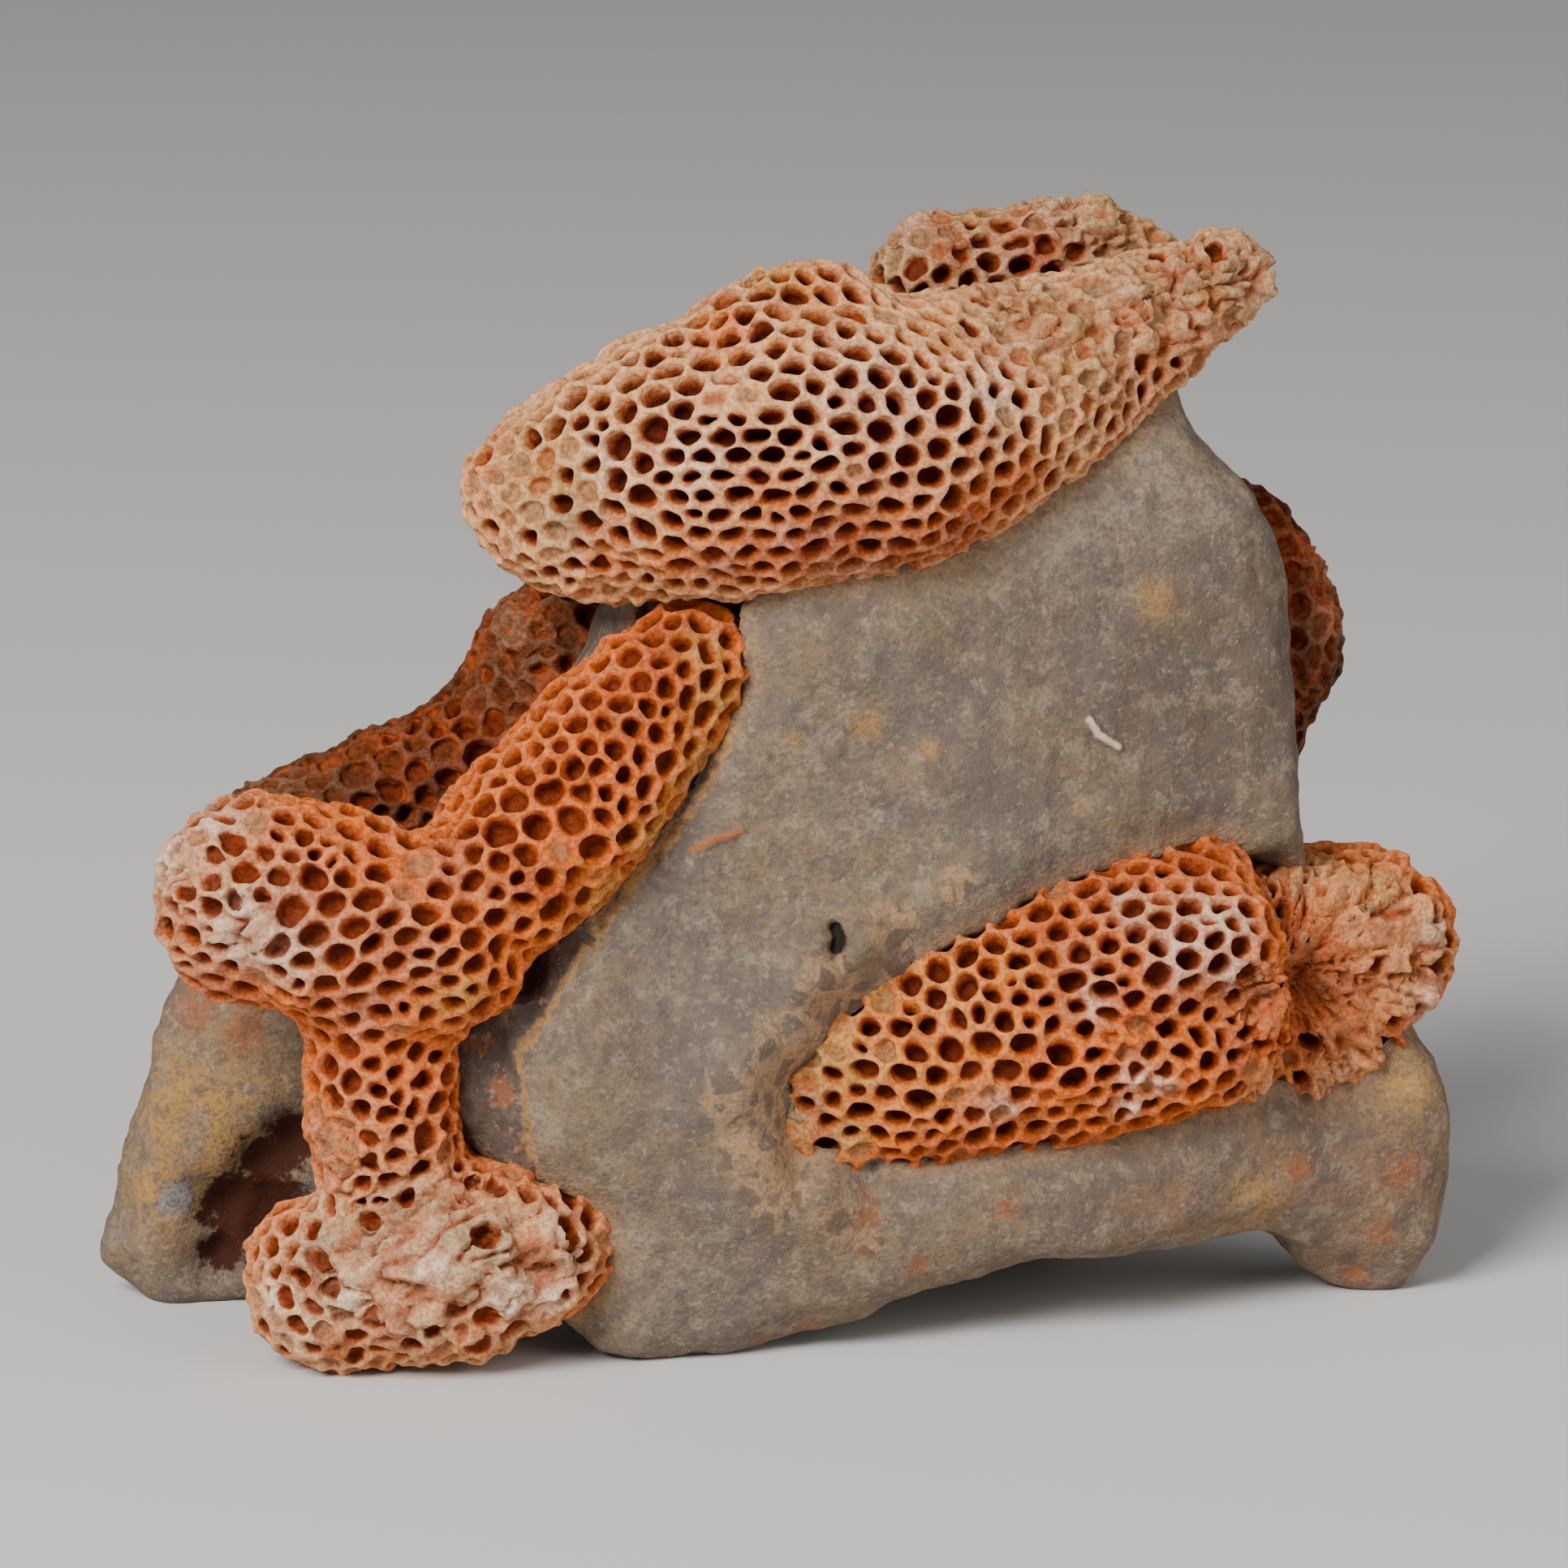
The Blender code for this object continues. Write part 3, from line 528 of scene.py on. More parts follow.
@functools.cache
def stone_form():
    """The smooth stone, closed up to the corals, and its search tree."""
    bm = remeshed(merged_copy(("matrix",)), STONE_VOXEL, STONE_SMOOTHING)
    grow(bm, STONE_SKIN)
    pulled = []
    for vert in bm.verts:
        place = closed_up(vert.co)
        if place is not None:
            vert.co = place
            pulled.append(vert)
    for _ in range(SEAM_ROUNDS):
        bmesh.ops.smooth_vert(bm, verts=pulled, factor=0.5, use_axis_x=True, use_axis_y=True, use_axis_z=True)
    bm.normal_update()
    return bm, BVHTree.FromBMesh(bm)


@functools.cache
def on_fossil(x, y):
    """The point of the fossil behind a pixel of the photograph, or the nearest to the ray through it."""
    right, up, away = view_axes()
    across = right * (x - PHOTO_SIDE / 2) + up * (PHOTO_SIDE / 2 - y)
    ray = (away * VIEW_DISTANCE + across * VIEW_WIDTH / PHOTO_SIDE).normalized()
    start = camera_place()
    skins = [stone_form()[1], *coral_skins()]
    hits = [skin.ray_cast(start, ray) for skin in skins]
    near = [hit for hit in hits if hit[0] is not None]
    if near:
        return min(near, key=lambda hit: hit[3])[0]
    passing = start + ray * VIEW_DISTANCE
    return min((skin.find_nearest(passing) for skin in skins), key=lambda hit: hit[3])[0]


def turn_edges(bm, rounds=2):
    """Turns edges round where that brings their points nearer to six edges each."""
    for _ in range(rounds):
        turned = 0
        for edge in list(bm.edges):
            if not edge.is_valid or len(edge.link_faces) != 2:
                continue
            ends = edge.verts[:]
            across = [vert for face in edge.link_faces for vert in face.verts if vert not in ends]
            if len(across) != 2 or bm.edges.get(across):
                continue
            before = sum((len(vert.link_edges) - 6) ** 2 for vert in ends + across)
            after = sum((len(vert.link_edges) - 7) ** 2 for vert in ends)
            after += sum((len(vert.link_edges) - 5) ** 2 for vert in across)
            fold = edge.link_faces[0].normal.dot(edge.link_faces[1].normal)
            if after < before and fold > 0.5 and bmesh.utils.edge_rotate(edge, True):
                turned += 1
        if not turned:
            return


def drop_short_edges(bm, shortest):
    """Closes edges below that length, in the shortest fifth of them, to their middles."""
    for edge in sorted(bm.edges, key=lambda e: e.calc_length())[: len(bm.edges) // 5]:
        if not edge.is_valid or edge.calc_length() > shortest:
            continue
        one, other = edge.verts
        shared = {e.other_vert(one) for e in one.link_edges} & {e.other_vert(other) for e in other.link_edges}
        if len(shared) == 2 and min(len(vert.link_edges) for vert in shared) > 3:
            bmesh.ops.pointmerge(bm, verts=[one, other], merge_co=(one.co + other.co) / 2)


def split_long_edges(bm, longest):
    edges = [edge for edge in bm.edges if edge.calc_length() > longest]
    bmesh.ops.subdivide_edges(bm, edges=edges, cuts=1)
    cut_to_triangles(bm)


def even_mesh(form, skin, pitch):
    """The form in triangles of about equal sides, whose points become the middles of the tubes."""
    bm = remeshed(form.copy(), pitch * EVEN_START, 0)
    bmesh.ops.triangulate(bm, faces=bm.faces)
    shortest, longest = EVEN_SIDES
    for _ in range(EVEN_ROUNDS):
        split_long_edges(bm, longest * pitch)
        drop_short_edges(bm, shortest * pitch)
        turn_edges(bm)
        bm.normal_update()
        for vert, middle in [(vert, neighbours_middle(vert)) for vert in bm.verts]:
            slide = middle - vert.co
            vert.co += EVEN_SLIDE * (slide - slide.dot(vert.normal) * vert.normal)
        for vert in bm.verts:
            vert.co = skin.find_nearest(vert.co)[0]
    bm.normal_update()
    return bm


def depth_in(skin, point):
    """How deep the point is in the closed skin; below zero outside it."""
    place, normal, _, distance = skin.find_nearest(point)
    return math.copysign(distance, (place - point).dot(normal))


def spot_field(places, spots):
    """The spots' weight at each place, from 0 far from them all to 1 at the middle of one."""
    field = np.zeros(len(places))
    for x, y, radius in spots:
        away = np.linalg.norm(places - np.array(on_fossil(x, y)), axis=1) / radius
        field = np.maximum(field, np.exp(-SPOT_FADE * away**2))
    return field


def within(spots, point):
    depth, span = RAGGED
    ragged = 1 + depth * noise.noise(point / span)
    return any((point - on_fossil(x, y)).length < radius * ragged for x, y, radius in spots)


def layered(places, layers):
    """The rise that the layers' spots give each place."""
    return sum((height * spot_field(places, spots) for height, spots in layers), np.zeros(len(places)))


def near_stone(places, reach=EDGE_WIDTH):
    return nearness([stone_form()[1]], places, reach)


def shape(bm, coral):
    """Gives an even mesh the coral's swells and hollows, and an unsteady skin where it has gone to rubble."""
    offset = Vector((coral.seed, 0.0, 0.0))
    places = np.array([vert.co[:] for vert in bm.verts])
    rises = layered(places, coral.relief)
    rubble = spot_field(places, coral.rubble)
    held = near_stone(places, HELD_WIDTH)
    moved = []
    for vert, rise, worn, hold in zip(bm.verts, rises, rubble, held):
        rise += SWELL * (noise.noise(vert.co / SWELL_SPAN + offset) - SWELL_SINK)
        rise += worn * RUBBLE_SWELL * (noise.noise(vert.co / RUBBLE_SPAN + offset) - RUBBLE_SINK)
        moved.append(vert.co + vert.normal * (rise * (1 - hold) + HELD_RISE * hold))
    for vert, place in zip(bm.verts, moved):
        vert.co = place
    bm.normal_update()


def mouth_faces(bm, coral):
    """Turns each point of an even mesh that shows into one face, and gives those faces and their corners."""
    stone_skin = stone_form()[1]
    middles = [
        vert for vert in bm.verts
        if not BURIED[0] < depth_in(stone_skin, vert.co) < BURIED[1] and not within(coral.broken, vert.co)
    ]
    # dict.fromkeys keeps each once and in order, which a set doesn't, so every run draws the same corners
    sides = list(dict.fromkeys(edge for vert in middles for edge in vert.link_edges))
    faces = list(dict.fromkeys(face for vert in middles for face in vert.link_faces))
    corners = bmesh.ops.poke(bm, faces=faces)["verts"]
    bmesh.ops.rotate_edges(bm, edges=sides, use_ccw=False)
    bmesh.ops.dissolve_verts(bm, verts=middles)
    mouths = [face for face in bm.faces if len(face.verts) > 4]
    for x, y, radius in coral.wide:
        middle = on_fossil(x, y)
        joined = [face for face in mouths if (face.calc_center_median() - middle).length < radius]
        bmesh.ops.dissolve_faces(bm, faces=joined, use_verts=True)
        mouths = [face for face in bm.faces if len(face.verts) > 4]
    bm.normal_update()
    return mouths, [corner for corner in corners if corner.is_valid]


def open_cells(bm, coral, settings):
    """Gives the mesh's showing faces a rim, a wall that goes down and a floor, as tube mouths have."""
    rng = random.Random(coral.seed)
    pit = bm.verts.layers.float.new("pit")
    fill = bm.verts.layers.float.new("fill")
    tone = bm.verts.layers.float.new("tone")
    mouths, corners = mouth_faces(bm, coral)
    low = near_stone([corner.co for corner in corners])
    for corner, lowness in zip(corners, low):
        jitter = Vector([rng.uniform(-1, 1) for _ in range(3)]) * settings.wall * RIM_JITTER
        corner.co += corner.normal * rng.uniform(*RIM_HEIGHTS) * (1 - RIM_LOSS * lowness) + jitter
    middles = np.array([face.calc_center_median()[:] for face in mouths])
    worn = spot_field(middles, coral.rubble)
    clogging = FILLED_CHANCE * spot_field(middles, coral.filled) + RUBBLE_CHANCE * worn
    clogging += EDGE_CHANCE * near_stone(middles)
    groups = defaultdict(list)
    for face, clogged, wear in zip(mouths, clogging, worn):
        full = rng.random() < settings.filled_share + clogged
        depth = rng.choice(FILLED_DEPTHS if full else WORN_DEPTHS if wear > WORN_FROM else OPEN_DEPTHS)
        groups[full, depth, rng.choice(WALL_SHARES)].append(face)
    for (full, depth, share), faces in groups.items():
        top, slope = (settings.wall * share * part for part in RIM_SPLIT)
        bmesh.ops.inset_individual(bm, faces=faces, thickness=top, depth=-RIM_DIP, use_even_offset=True)
        for face in faces:
            shade = rng.random()
            for vert in face.verts:
                vert[pit] = RIM_PIT
                vert[tone] = shade
        down = -settings.depth * depth * coral.deepness
        bmesh.ops.inset_individual(bm, faces=faces, thickness=slope, depth=down, use_even_offset=True)
        for face in faces:
            for vert in face.verts:
                vert[pit] = FULL_PIT if full else 1.0
                vert[fill] = 1.0 if full else 0.0


def vertex_places(mesh):
    places = np.empty(len(mesh.vertices) * 3, dtype=np.float32)
    mesh.vertices.foreach_get("co", places)
    return places.reshape(-1, 3)


def move_vertices(mesh, places):
    """Moves the vertices all at once, and none below the ground."""
    flat = np.array(places, dtype=np.float32)
    flat[:, 2] = np.maximum(flat[:, 2], 0.0)
    mesh.vertices.foreach_set("co", flat.ravel())


def nearness(skins, places, reach):
    """From 1 where a place touches one of the skins to 0 where it is the reach away from all."""
    near = np.zeros(len(places))
    for number, place in enumerate(places):
        for skin in skins:
            distance = skin.find_nearest(place, reach)[3]
            if distance is not None:
                near[number] = max(near[number], 1 - distance / reach)
    return near


def roughen(mesh, coral):
    """Small lumps all over, more of them where the coral has gone to rubble, and folds where it is broken."""
    offset = Vector((coral.seed, 0.0, 0.0))
    places = vertex_places(mesh)
    rubble = spot_field(places, coral.rubble)
    broken = spot_field(places, coral.broken)
    carved = layered(places, coral.carving)
    skin = coral_form(coral.nodes)[1]
    folds = np.ones(len(places))
    moved = []
    for number, (vert, rise, worn, bare) in enumerate(zip(mesh.vertices, carved, rubble, broken)):
        place = vert.co
        lump = (LUMP + RUBBLE_LUMP * worn) * noise.noise(place / LUMP_SPAN + offset)
        if bare > BARE:
            drawn_out = drawn(place, coral) + offset
            fold = min(1.0, FOLD_STEEPNESS * abs(noise.noise(drawn_out / FOLD_SPAN)))
            swell = FOLD_SWELL * noise.noise(drawn_out / FOLD_SWELL_SPAN)
            rise += bare * (BARE_RISE - FOLD_DEPTH * (1 - fold) + swell)
            rise += bare * BARE_LUMP * noise.noise(place / BARE_LUMP_SPAN + offset)
            folds[number] = fold
        outward = skin.find_nearest(place)[1] if abs(rise) > CARVED else vert.normal
        moved.append(place + vert.normal * lump + outward * rise)
    move_vertices(mesh, moved)
    write_field(mesh, "fold", folds)


def drawn(place, coral):
    """The place in a space where noise comes out as streaks, or as the ribs of a fan."""
    if coral.fan is None:
        along = Vector(coral.streak).normalized()
        return place - along * place.dot(along) * STREAK_SHARE
    right, up, away = view_axes()
    x, y, spread = coral.fan
    gap = place - on_fossil(x, y)
    round_it = math.atan2(gap.dot(up), gap.dot(right))
    return Vector((round_it * spread, gap.length * FAN_SHARE, gap.dot(away) * FAN_SHARE))


def paint(mesh, coral, settings):
    """Writes the colour of the tube walls to the mesh, from the coral's own colour and its spots."""
    places = vertex_places(mesh)
    colours = np.tile(np.array(getattr(settings, coral.base)), (len(places), 1))
    for name, strength, spots in coral.paints:
        share = spot_field(places, spots)[:, None] * strength
        colours += (np.array(getattr(settings, name)) - colours) * share
    colours = np.hstack([colours, np.ones((len(places), 1))])
    attribute = mesh.attributes.new("wall_colour", "FLOAT_COLOR", "POINT")
    attribute.data.foreach_set("color", colours.astype(np.float32).ravel())
    write_field(mesh, "bare", spot_field(places, coral.broken))
    write_field(mesh, "edge", near_stone(places))


def add_piece(name, bm, material, nodes):
    """Makes bm, in millimetres, a piece of the fossil that stands for those nodes."""
    bmesh.ops.scale(bm, verts=bm.verts, vec=Vector((MM, MM, MM)))
    mesh = bpy.data.meshes.new(name)
    bm.to_mesh(mesh)
    bm.free()
    mesh.shade_smooth()
    mesh.materials.append(material)
    piece = bpy.data.objects.new(name, mesh)
    bpy.context.scene.collection.objects.link(piece)
    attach(piece, "root")
    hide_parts(*nodes)
    return piece


def add_coral(coral, settings):
    form, skin = coral_form(coral.nodes)
    bm = even_mesh(form, skin, settings.pitch)
    shape(bm, coral)
    open_cells(bm, coral, settings)
    levels = settings.smoothness
    bm = through_modifiers(bm, ("SUBSURF", {"levels": levels, "render_levels": levels}))
    mesh = as_mesh(bm)
    roughen(mesh, coral)
    paint(mesh, coral, settings)
    bm = as_bmesh(mesh)
    kept = min(KEPT_SHARE, MOST_TRIANGLES / sum(len(face.verts) - 2 for face in bm.faces))
    bm = through_modifiers(bm, ("DECIMATE", {"ratio": kept}))
    return add_piece(coral.name, bm, coral_material(coral, settings), coral.nodes)


class Value:
    """An output of a shader node that takes part in sums and products."""

    def __init__(self, shader, socket):
        self.shader = shader
        self.socket = socket

    def sum_with(self, operation, one, other):
        return self.shader.node("Math", {"operation": operation}, {0: one, 1: other})

    def __add__(self, other):
        return self.sum_with("ADD", self, other)

    __radd__ = __add__

    def __sub__(self, other):
        return self.sum_with("SUBTRACT", self, other)

    def __rsub__(self, other):
        return self.sum_with("SUBTRACT", other, self)

    def __mul__(self, other):
        return self.sum_with("MULTIPLY", self, other)

    __rmul__ = __mul__

    def __abs__(self):
        return self.shader.node("Math", {"operation": "ABSOLUTE"}, {0: self})


class Shader:
    """A material and the nodes that feed its surface."""

    def __init__(self, name, roughness, shine):
        self.material = bpy.data.materials.new(name)
        self.material.use_nodes = True
        self.tree = self.material.node_tree
        self.surface = self.tree.nodes["Principled BSDF"]
        self.surface.inputs["Roughness"].default_value = roughness
        self.surface.inputs["Specular IOR Level"].default_value = shine
        self.places = self.node("TexCoord", output="Object")
        self.colour = None

    def put(self, socket, value):
        if isinstance(value, Value):
            self.tree.links.new(value.socket, socket)
        elif socket.type == "RGBA":
            socket.default_value = (*value, 1.0)
        else:
            socket.default_value = value

    def node(self, kind, settings=(), sockets=(), output=0):
        node = self.tree.nodes.new("ShaderNode" + kind)
        for key, value in dict(settings).items():
            setattr(node, key, value)
        for key, value in dict(sockets).items():
            self.put(node.inputs[key], value)
        return Value(self, node.outputs[output])

    def attribute(self, name, output="Fac"):
        return self.node("Attribute", {"attribute_name": name}, output=output)

    def grain(self, span, detail=3.0, roughness=0.55):
        """Noise from 0 to 1 whose blotches are about span millimetres wide."""
        sockets = {"Vector": self.places, "Scale": 1 / (span * MM), "Detail": detail, "Roughness": roughness}
        return self.node("TexNoise", {}, sockets, output="Fac")

    def mouth_walls(self, pitch):
        """Grows from 0 on the walls of a honeycomb to about 0.4 at the middles of its cells."""
        sockets = {"Vector": self.places, "Scale": 1 / (pitch * MM)}
        return self.node("TexVoronoi", {"feature": "DISTANCE_TO_EDGE"}, sockets)

    def step(self, value, low, high):
        """0 below low, 1 above high and smooth between."""
        sockets = {"Value": value, "From Min": low, "From Max": high}
        return self.node("MapRange", {"interpolation_type": "SMOOTHSTEP"}, sockets)

    def ragged(self, field, grain, share, low, high):
        """A field's step from 0 to 1, whose edge the grain breaks up."""
        return self.step(field + (grain - 0.5) * share, low, high)

    def mix(self, share, one, other, blend="MIX"):
        sockets = {0: share, 6: one, 7: other}
        return self.node("Mix", {"data_type": "RGBA", "blend_type": blend}, sockets, output=2)

    def lay(self, share, colour, blend="MIX"):
        """Lays the colour over what the material's colour is so far."""
        self.colour = self.mix(share, self.colour, colour, blend)

    def finish(self, height, distance):
        self.put(self.surface.inputs["Base Color"], self.colour)
        sockets = {"Height": height, "Distance": distance * MM, "Strength": 1.0}
        self.put(self.surface.inputs["Normal"], self.node("Bump", {}, sockets))
        return self.material


def coral_material(coral, settings):
    shader = Shader(coral.name, 0.75, 0.12)
    wall = shader.attribute("wall_colour", "Color")
    pit = shader.attribute("pit")
    fill = shader.attribute("fill")
    tone = shader.attribute("tone")
    bare = shader.attribute("bare")
    fine = shader.grain(0.25, 4.0, 0.65)
    medium = shader.grain(0.8, 4.0, 0.6)
    fold = shader.attribute("fold")
    # how strong the pale calcite patches and the painted highlight on the crests are
    whiteness = {"brown": 0.25, "orange": 0.45}.get(coral.base, 1.0)
    clog = settings.brown if coral.base == "brown" else settings.clog
    shader.colour = wall
    shader.lay(shader.step(shader.grain(1.7), 0.48, 0.62) * 0.14 * whiteness, settings.white)
    shader.lay(shader.step(shader.grain(2.1), 0.5, 0.64) * 0.4, settings.rust)
    shader.lay(shader.attribute("edge") * shader.step(medium, 0.4, 0.6) * 0.7, settings.rust)
    # the rims' crests get a painted highlight, the walls' inner sides a rust stain, and the floors of the
    # open mouths painted shade
    shader.lay((1 - shader.step(pit, 0.0, RIM_PIT)) * 0.12 * whiteness, settings.white)
    shader.lay(shader.step(pit, RIM_PIT, 0.45) * (0.7 + 0.3 * tone), settings.rust)
    shader.lay(shader.step(pit, 0.35, 0.85) * coral.deepness, settings.dark)
    # what fills a mouth
    clogged = shader.mix(shader.step(tone, 0.7, 0.9) * 0.7, clog, settings.rust)
    shader.lay(fill, shader.mix(0.3, clogged, wall))
    # the broken surfaces and their folds, with painted shade at the bottoms of the folds
    shader.lay(bare * shader.step(medium, 0.5, 0.62) * 0.5, settings.grey)
    shader.lay(bare * (1 - shader.step(fold, 0.3, 0.9)) * 0.6, settings.rust)
    # painted shade in the bottoms of the folds
    shader.lay(bare * (1 - shader.step(fold, 0.0, 0.45)) * 0.8, settings.dark)
    shader.lay(bare * shader.step(shader.grain(0.5), 0.55, 0.61) * 0.55, settings.rust)
    dirt = shader.mix(shader.step(fine, 0.38, 0.6), (0.58, 0.50, 0.44), (1.12, 1.12, 1.12))
    shader.lay(0.8, dirt, "MULTIPLY")
    return shader.finish(fine + medium * 0.8, 0.1)


def stone_material(settings):
    shader = Shader("limestone", 0.9, 0.2)
    fields = {name: shader.attribute(name) for name in (*STONE_PAINTS, *MARKS)}
    ridge = shader.attribute("ridge") + (shader.grain(1.0) - 0.5) * 1.2
    wide = shader.grain(6.0)
    medium = shader.grain(1.6, 5.0, 0.65)
    small = shader.grain(0.6, 4.0, 0.7)
    speck = shader.grain(0.22, 3.0, 0.7)
    shader.colour = shader.mix(shader.step(wide, 0.42, 0.58), settings.stone, settings.warm)
    shader.lay(fields["brown"] * 0.75, settings.brown)
    shader.lay(fields["lobe"] * 0.8, settings.lobe)
    # painted light on the spots where the stone's face is lit
    shader.lay(fields["light"] * 0.35, settings.pale)
    shader.lay(shader.step(medium, 0.46, 0.6) * 0.6, settings.shade)
    shader.lay(shader.step(shader.grain(1.1, 4.0, 0.65), 0.5, 0.62) * 0.38, settings.pale)
    # painted shade on the spots where the stone's face lies in shadow
    shader.lay(fields["shade"] * 0.5, settings.shade)
    shader.lay(fields["yellow"] * shader.step(medium, 0.3, 0.55), settings.yellow)
    shader.lay(shader.ragged(fields["blotch"], small, 1.6, 0.5, 0.9) * 0.6, settings.yellow)
    shader.lay(shader.ragged(fields["stain"], small, 2.2, 0.4, 0.95) * 0.75, settings.rust)
    shader.lay(shader.ragged(fields["blue"], small, 1.0, 0.4, 0.8) * 0.8, settings.blue)
    shader.lay(shader.ragged(shader.attribute("near_coral"), small, 1.2, 0.35, 0.8) * 0.65, settings.crust)
    # the painted shade of the strip beside the ridge, and the bright line of the ridge
    strip = shader.step(ridge, 0.1, 0.5) * (1 - shader.step(ridge, 2.8, STRIP_WIDTH))
    # painted shade over the strip, mottled by the grain
    shader.lay(strip * (0.55 + 0.35 * shader.step(small, 0.42, 0.58)), settings.dark)
    shader.lay(strip * shader.step(shader.grain(0.9, 4.0, 0.7), 0.55, 0.62) * 0.7, settings.rust)
    shader.lay((1 - shader.step(abs(ridge), 0.1, 0.38)) * 0.75, settings.yellow)
    # the walls and floors of mouths worn level with the stone
    wall = shader.mouth_walls(GHOST_PITCH)
    ghost = shader.ragged(fields["ghost"], medium, 1.0, 0.3, 0.65)
    shader.lay(ghost * (1 - shader.step(wall, 0.09, 0.2)) * 0.7, settings.ghost)
    shader.lay(ghost * shader.step(wall, 0.13, 0.2) * 0.6, settings.brown)
    # the grains
    shader.lay(shader.step(small, 0.5, 0.62) * 0.5, settings.fleck)
    shader.lay(shader.step(shader.grain(0.45, 4.0, 0.7), 0.56, 0.66) * 0.38, settings.speck)
    shader.lay(shader.step(speck, 0.48, 0.6) * 0.45, settings.fleck)
    # the fin's hollow and the marks
    # the fin's hollow: a dark red stain, deepened towards black by painted shade
    shader.lay(shader.ragged(fields["cavity"], small, 1.4, 0.3, 0.6) * 0.95, settings.cavity)
    shader.lay(shader.ragged(fields["shell"], speck, 0.8, 0.4, 0.9), settings.shell)
    shader.lay(shader.step(fields["sliver"], 0.5, 0.8) * 0.8, settings.rust)
    # painted shade: near-black inside the small hole
    shader.lay(shader.ragged(fields["hole"], speck, 0.6, 0.4, 0.7), settings.hole)
    return shader.finish(small * 0.8 + speck, 0.09)


def write_field(mesh, name, values):
    mesh.attributes.new(name, "FLOAT", "POINT").data.foreach_set("value", values.astype(np.float32))


def line_distance(places, pixels):
    """Distance from the line down through the pixels, above zero on its left as the photograph shows it."""
    points = [np.array(on_fossil(x, y)) for x, y in pixels]
    away = np.array(view_axes()[2])
    nearest = np.full(len(places), FAR_OFF)
    signed = np.full(len(places), -FAR_OFF)
    for start, end in zip(points, points[1:]):
        along = end - start
        share = np.clip(((places - start) @ along) / (along @ along), 0, 1)
        gap = places - (start + share[:, None] * along)
        distance = np.linalg.norm(gap, axis=1)
        side = np.sign(gap @ np.cross(away, along))
        closer = distance < nearest
        nearest[closer] = distance[closer]
        signed[closer] = (distance * side)[closer]
    return signed


def add_stone(settings):
    form = stone_form()[0].copy()
    marked = [on_fossil(x, y) for points, _ in MARKS.values() for x, y in points]
    edges = [
        edge for edge in form.edges
        if any((edge.verts[0].co - place).length < MARK_REACH for place in marked)
    ]
    bmesh.ops.subdivide_edges(form, edges=edges, cuts=2, use_grid_fill=True)
    bmesh.ops.triangulate(form, faces=[face for face in form.faces if len(face.verts) > 4])
    form.normal_update()
    mesh = as_mesh(form)
    places = vertex_places(mesh)
    fields = {name: spot_field(places, spots) for name, spots in STONE_PAINTS.items()}
    for name, (points, half_width) in MARKS.items():
        fields[name] = np.exp(-SPOT_FADE * (np.abs(line_distance(places, points)) / half_width) ** 2)
    fields["near_coral"] = nearness(coral_skins(), places, EDGE_WIDTH)
    fields["ridge"] = line_distance(places, RIDGE_LINE)
    rises = sum(rise * fields[name] for name, rise in MARK_RISES.items())
    banks = BANK_HEIGHT * spot_field(places, BANK)
    towards = -view_axes()[2]
    in_strip = (fields["ridge"] > 0.0) & (fields["ridge"] < STRIP_WIDTH)
    moved = []
    for vert, rise, bank, rough in zip(mesh.vertices, rises, banks, in_strip):
        place = vert.co
        rise += sum(height * noise.noise(place / span) for height, span in STONE_LUMPS)
        if rough:
            rise += STRIP_LUMP[0] * noise.noise(place / STRIP_LUMP[1]) - STRIP_SINK
        place = place + vert.normal * rise + towards * bank
        if bank > LOW_BANK:
            place = closed_up(place) or place
        moved.append(place)
    move_vertices(mesh, moved)
    for name, values in fields.items():
        write_field(mesh, name, values)
    return add_piece("limestone", as_bmesh(mesh), stone_material(settings), ("matrix",))


def colour_property(name, description, default):
    return FloatVectorProperty(
        name=name, description=description, default=default, subtype="COLOR", min=0.0, max=1.0
    )


class CoralSettings(bpy.types.PropertyGroup):
    pitch: FloatProperty(name="Pitch", description="From one mouth to the next, in mm", default=1.3, min=0.8)
    wall: FloatProperty(name="Half wall", description="Half a wall's width, in mm", default=0.21, min=0.05)
    depth: FloatProperty(name="Depth", description="How deep an open mouth is, in mm", default=1.3, min=0.1)
    filled_share: FloatProperty(name="Filled", description="Share of mouths full of sediment", default=0.025)
    smoothness: IntProperty(name="Smoothness", description="Subdivision levels of mouths", default=2, max=3)
    cream: colour_property("Cream", "Walls of the upper branch", (0.74, 0.35, 0.14))
    pink: colour_property("Pink", "Pinkish walls", (0.60, 0.24, 0.115))
    orange: colour_property("Orange", "Walls of the orange branches", (0.70, 0.15, 0.014))
    amber: colour_property("Amber", "Yellower orange walls of the right branch", (0.74, 0.27, 0.04))
    ochre: colour_property("Ochre", "Yellow-beige crust on walls", (0.50, 0.27, 0.06))
    tan: colour_property("Tan", "Worn beige walls", (0.44, 0.22, 0.09))
    # partly painted shade: the rear branches' walls are darker than their own brown
    brown: colour_property("Brown", "Walls of the rear branches", (0.10, 0.026, 0.006))
    bone: colour_property("Bone", "Bleached walls and calcite", (0.66, 0.44, 0.26))
    grey: colour_property("Grey", "Grey calcite and sediment", (0.235, 0.195, 0.115))
    # also the colour of the painted highlight on the rims' crests
    white: colour_property("White", "The palest calcite", (0.86, 0.66, 0.48))
    rust: colour_property("Rust", "Iron stain on the walls and inside the mouths", (0.40, 0.065, 0.008))
    # painted shade: the near-black red at the bottoms of the mouths and folds, and in hollows
    dark: colour_property("Dark", "The bottoms of the open mouths", (0.10, 0.013, 0.002))
    clog: colour_property("Clog", "Sediment that fills a mouth", (0.27, 0.15, 0.075))


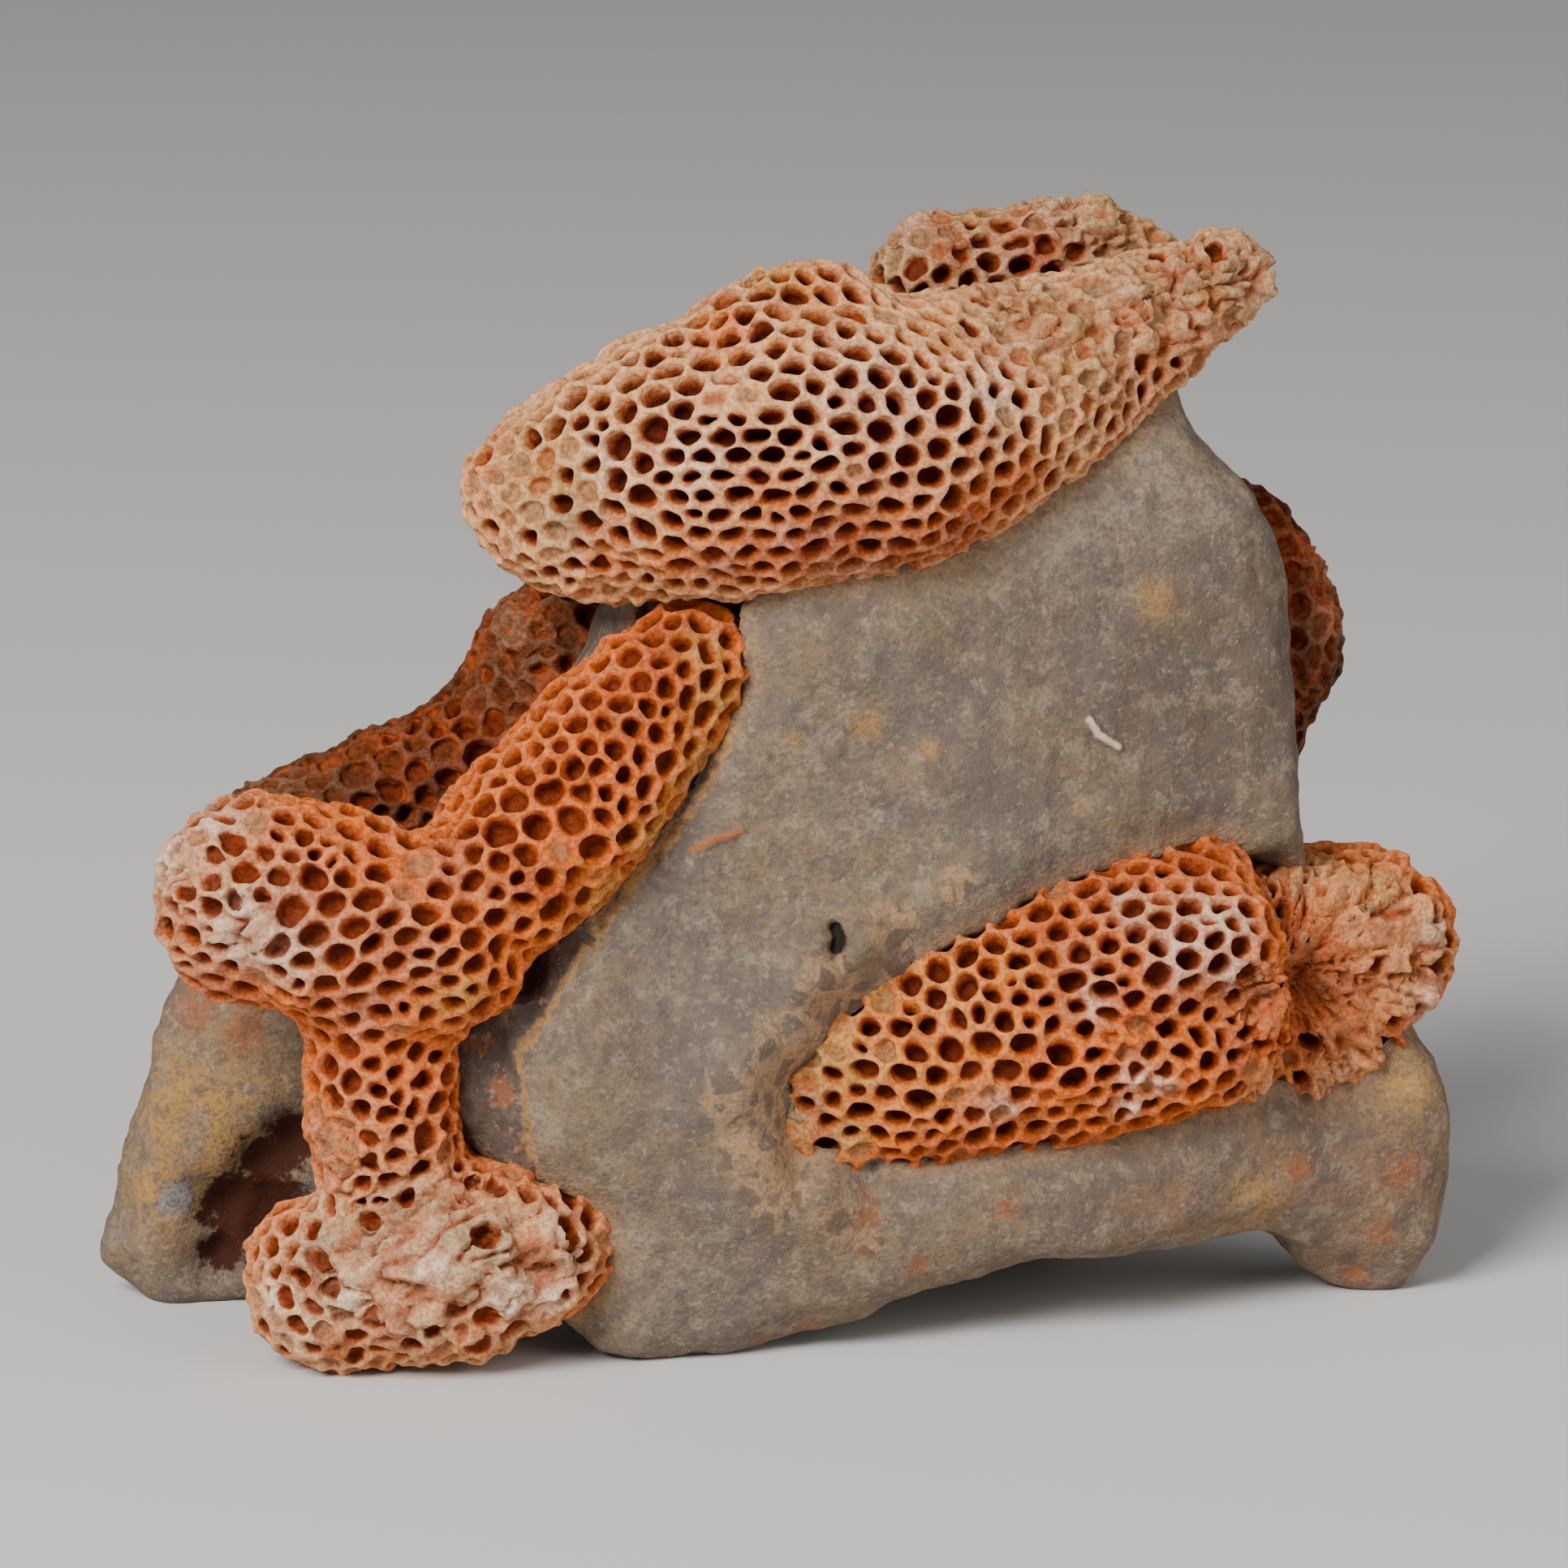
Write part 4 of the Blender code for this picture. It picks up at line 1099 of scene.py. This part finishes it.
class StoneSettings(bpy.types.PropertyGroup):
    stone: colour_property("Stone", "The stone's main grey", (0.175, 0.135, 0.10))
    warm: colour_property("Warm", "Warmer patches", (0.215, 0.148, 0.088))
    pale: colour_property("Pale", "Paler patches", (0.36, 0.275, 0.19))
    brown: colour_property("Brown", "The browner stone to the right", (0.125, 0.085, 0.053))
    # also the colour of the painted light spots
    lobe: colour_property("Lobe", "The reddish brown stone of the right lobe", (0.26, 0.145, 0.08))
    # also the colour of the painted shade spots
    shade: colour_property("Shade", "Dark purplish patches", (0.12, 0.09, 0.075))
    # painted shade for the strip beside the ridge
    dark: colour_property("Dark", "The dark strip beside the ridge", (0.06, 0.042, 0.036))
    yellow: colour_property("Yellow", "Yellow-beige crust", (0.43, 0.23, 0.065))
    crust: colour_property("Crust", "Stained stone beside the corals", (0.34, 0.20, 0.10))
    ghost: colour_property("Ghost", "Walls of mouths worn level with the stone", (0.40, 0.235, 0.11))
    rust: colour_property("Rust", "Iron stains", (0.34, 0.11, 0.035))
    # partly a dark red stain and partly painted shade
    cavity: colour_property("Cavity", "The dark red hollow of the fin", (0.04, 0.007, 0.002))
    blue: colour_property("Blue", "A blue-grey patch on the fin", (0.24, 0.24, 0.25))
    fleck: colour_property("Fleck", "Small dark grains", (0.10, 0.08, 0.07))
    speck: colour_property("Speck", "Small pale and pinkish grains", (0.42, 0.31, 0.23))
    shell: colour_property("Shell", "A white scrap of shell", (0.62, 0.47, 0.35))
    # painted shade inside the small hole
    hole: colour_property("Hole", "A small hole in the face", (0.02, 0.014, 0.012))


class StageSettings(bpy.types.PropertyGroup):
    floor: colour_property("Floor", "The plain floor", (0.72, 0.71, 0.69))
    key: FloatProperty(name="Key light", description="Power of the main soft light, in watts", default=5.6)
    fill: FloatProperty(name="Fill light", description="Power of the weaker light, in watts", default=1.0)
    ambient: FloatProperty(name="Ambient", description="Brightness of the light from all round", default=0.22)


def area_light(name, place, size, power):
    """A soft light that points at the fossil, in metres and watts."""
    lamp = bpy.data.lights.new(name, "AREA")
    lamp.size = size
    lamp.energy = power
    light = bpy.data.objects.new(name, lamp)
    light.location = place
    light.rotation_euler = (VIEW_TARGET * MM - Vector(place)).to_track_quat("-Z", "Y").to_euler()
    bpy.context.scene.collection.objects.link(light)


class FOSSIL_OT_corals(bpy.types.Operator):
    """Makes every coral's surface"""

    bl_idname = "fossil.corals"
    bl_label = "Corals"

    def execute(self, context):
        for coral in CORALS:
            add_coral(coral, context.scene.fossil_coral)
        return {"FINISHED"}


class FOSSIL_OT_limestone(bpy.types.Operator):
    """Makes the stone's surface, closed up to the corals"""

    bl_idname = "fossil.limestone"
    bl_label = "Limestone"

    def execute(self, context):
        add_stone(context.scene.fossil_stone)
        return {"FINISHED"}


class FOSSIL_OT_stage(bpy.types.Operator):
    """Makes the floor, the lights and the camera"""

    bl_idname = "fossil.stage"
    bl_label = "Stage"

    def execute(self, context):
        settings = context.scene.fossil_stage
        bm = bmesh.new()
        bmesh.ops.create_grid(bm, x_segments=1, y_segments=1, size=FLOOR_SIZE)
        mesh = bpy.data.meshes.new("floor")
        bm.to_mesh(mesh)
        bm.free()
        shader = Shader("floor", 0.9, 0.5)
        shader.put(shader.surface.inputs["Base Color"], settings.floor)
        mesh.materials.append(shader.material)
        floor = bpy.data.objects.new("floor", mesh)
        context.scene.collection.objects.link(floor)
        area_light("key", *KEY_LIGHT, settings.key)
        area_light("fill", *FILL_LIGHT, settings.fill)
        world = bpy.data.worlds.new("studio")
        world.use_nodes = True
        background = world.node_tree.nodes["Background"]
        background.inputs["Color"].default_value = (1.0, 1.0, 1.0, 1.0)
        background.inputs["Strength"].default_value = settings.ambient
        context.scene.world = world
        view = bpy.data.objects.new("camera", bpy.data.cameras.new("camera"))
        view.data.sensor_width = SENSOR_WIDTH
        view.data.lens = SENSOR_WIDTH * VIEW_DISTANCE / VIEW_WIDTH
        view.location = camera_place() * MM
        view.rotation_euler = view_axes()[2].to_track_quat("-Z", "Y").to_euler()
        context.scene.collection.objects.link(view)
        context.scene.camera = view
        return {"FINISHED"}


class FOSSIL_PT_panel(bpy.types.Panel):
    """Lists the fossil's settings and its steps"""

    bl_idname = "FOSSIL_PT_panel"
    bl_label = "Fossil coral"
    bl_space_type = "VIEW_3D"
    bl_region_type = "UI"
    bl_category = "Fossil"

    def draw(self, context):
        for group in GROUPS:
            settings = getattr(context.scene, group)
            box = self.layout.box()
            for name in settings.__annotations__:
                box.prop(settings, name)
        for operator in STEPS:
            self.layout.operator(operator.bl_idname)


STEPS = (FOSSIL_OT_limestone, FOSSIL_OT_corals, FOSSIL_OT_stage)
GROUPS = {"fossil_coral": CoralSettings, "fossil_stone": StoneSettings, "fossil_stage": StageSettings}


def register():
    for kind in (*GROUPS.values(), *STEPS, FOSSIL_PT_panel):
        bpy.utils.register_class(kind)
    for name, group in GROUPS.items():
        setattr(bpy.types.Scene, name, PointerProperty(type=group))


def unregister():
    for name in GROUPS:
        delattr(bpy.types.Scene, name)
    for kind in (FOSSIL_PT_panel, *reversed(STEPS), *GROUPS.values()):
        bpy.utils.unregister_class(kind)


def main():
    register()
    bpy.ops.fossil.limestone()
    bpy.ops.fossil.corals()
    bpy.ops.fossil.stage()


if __name__ == "__main__":
    main()
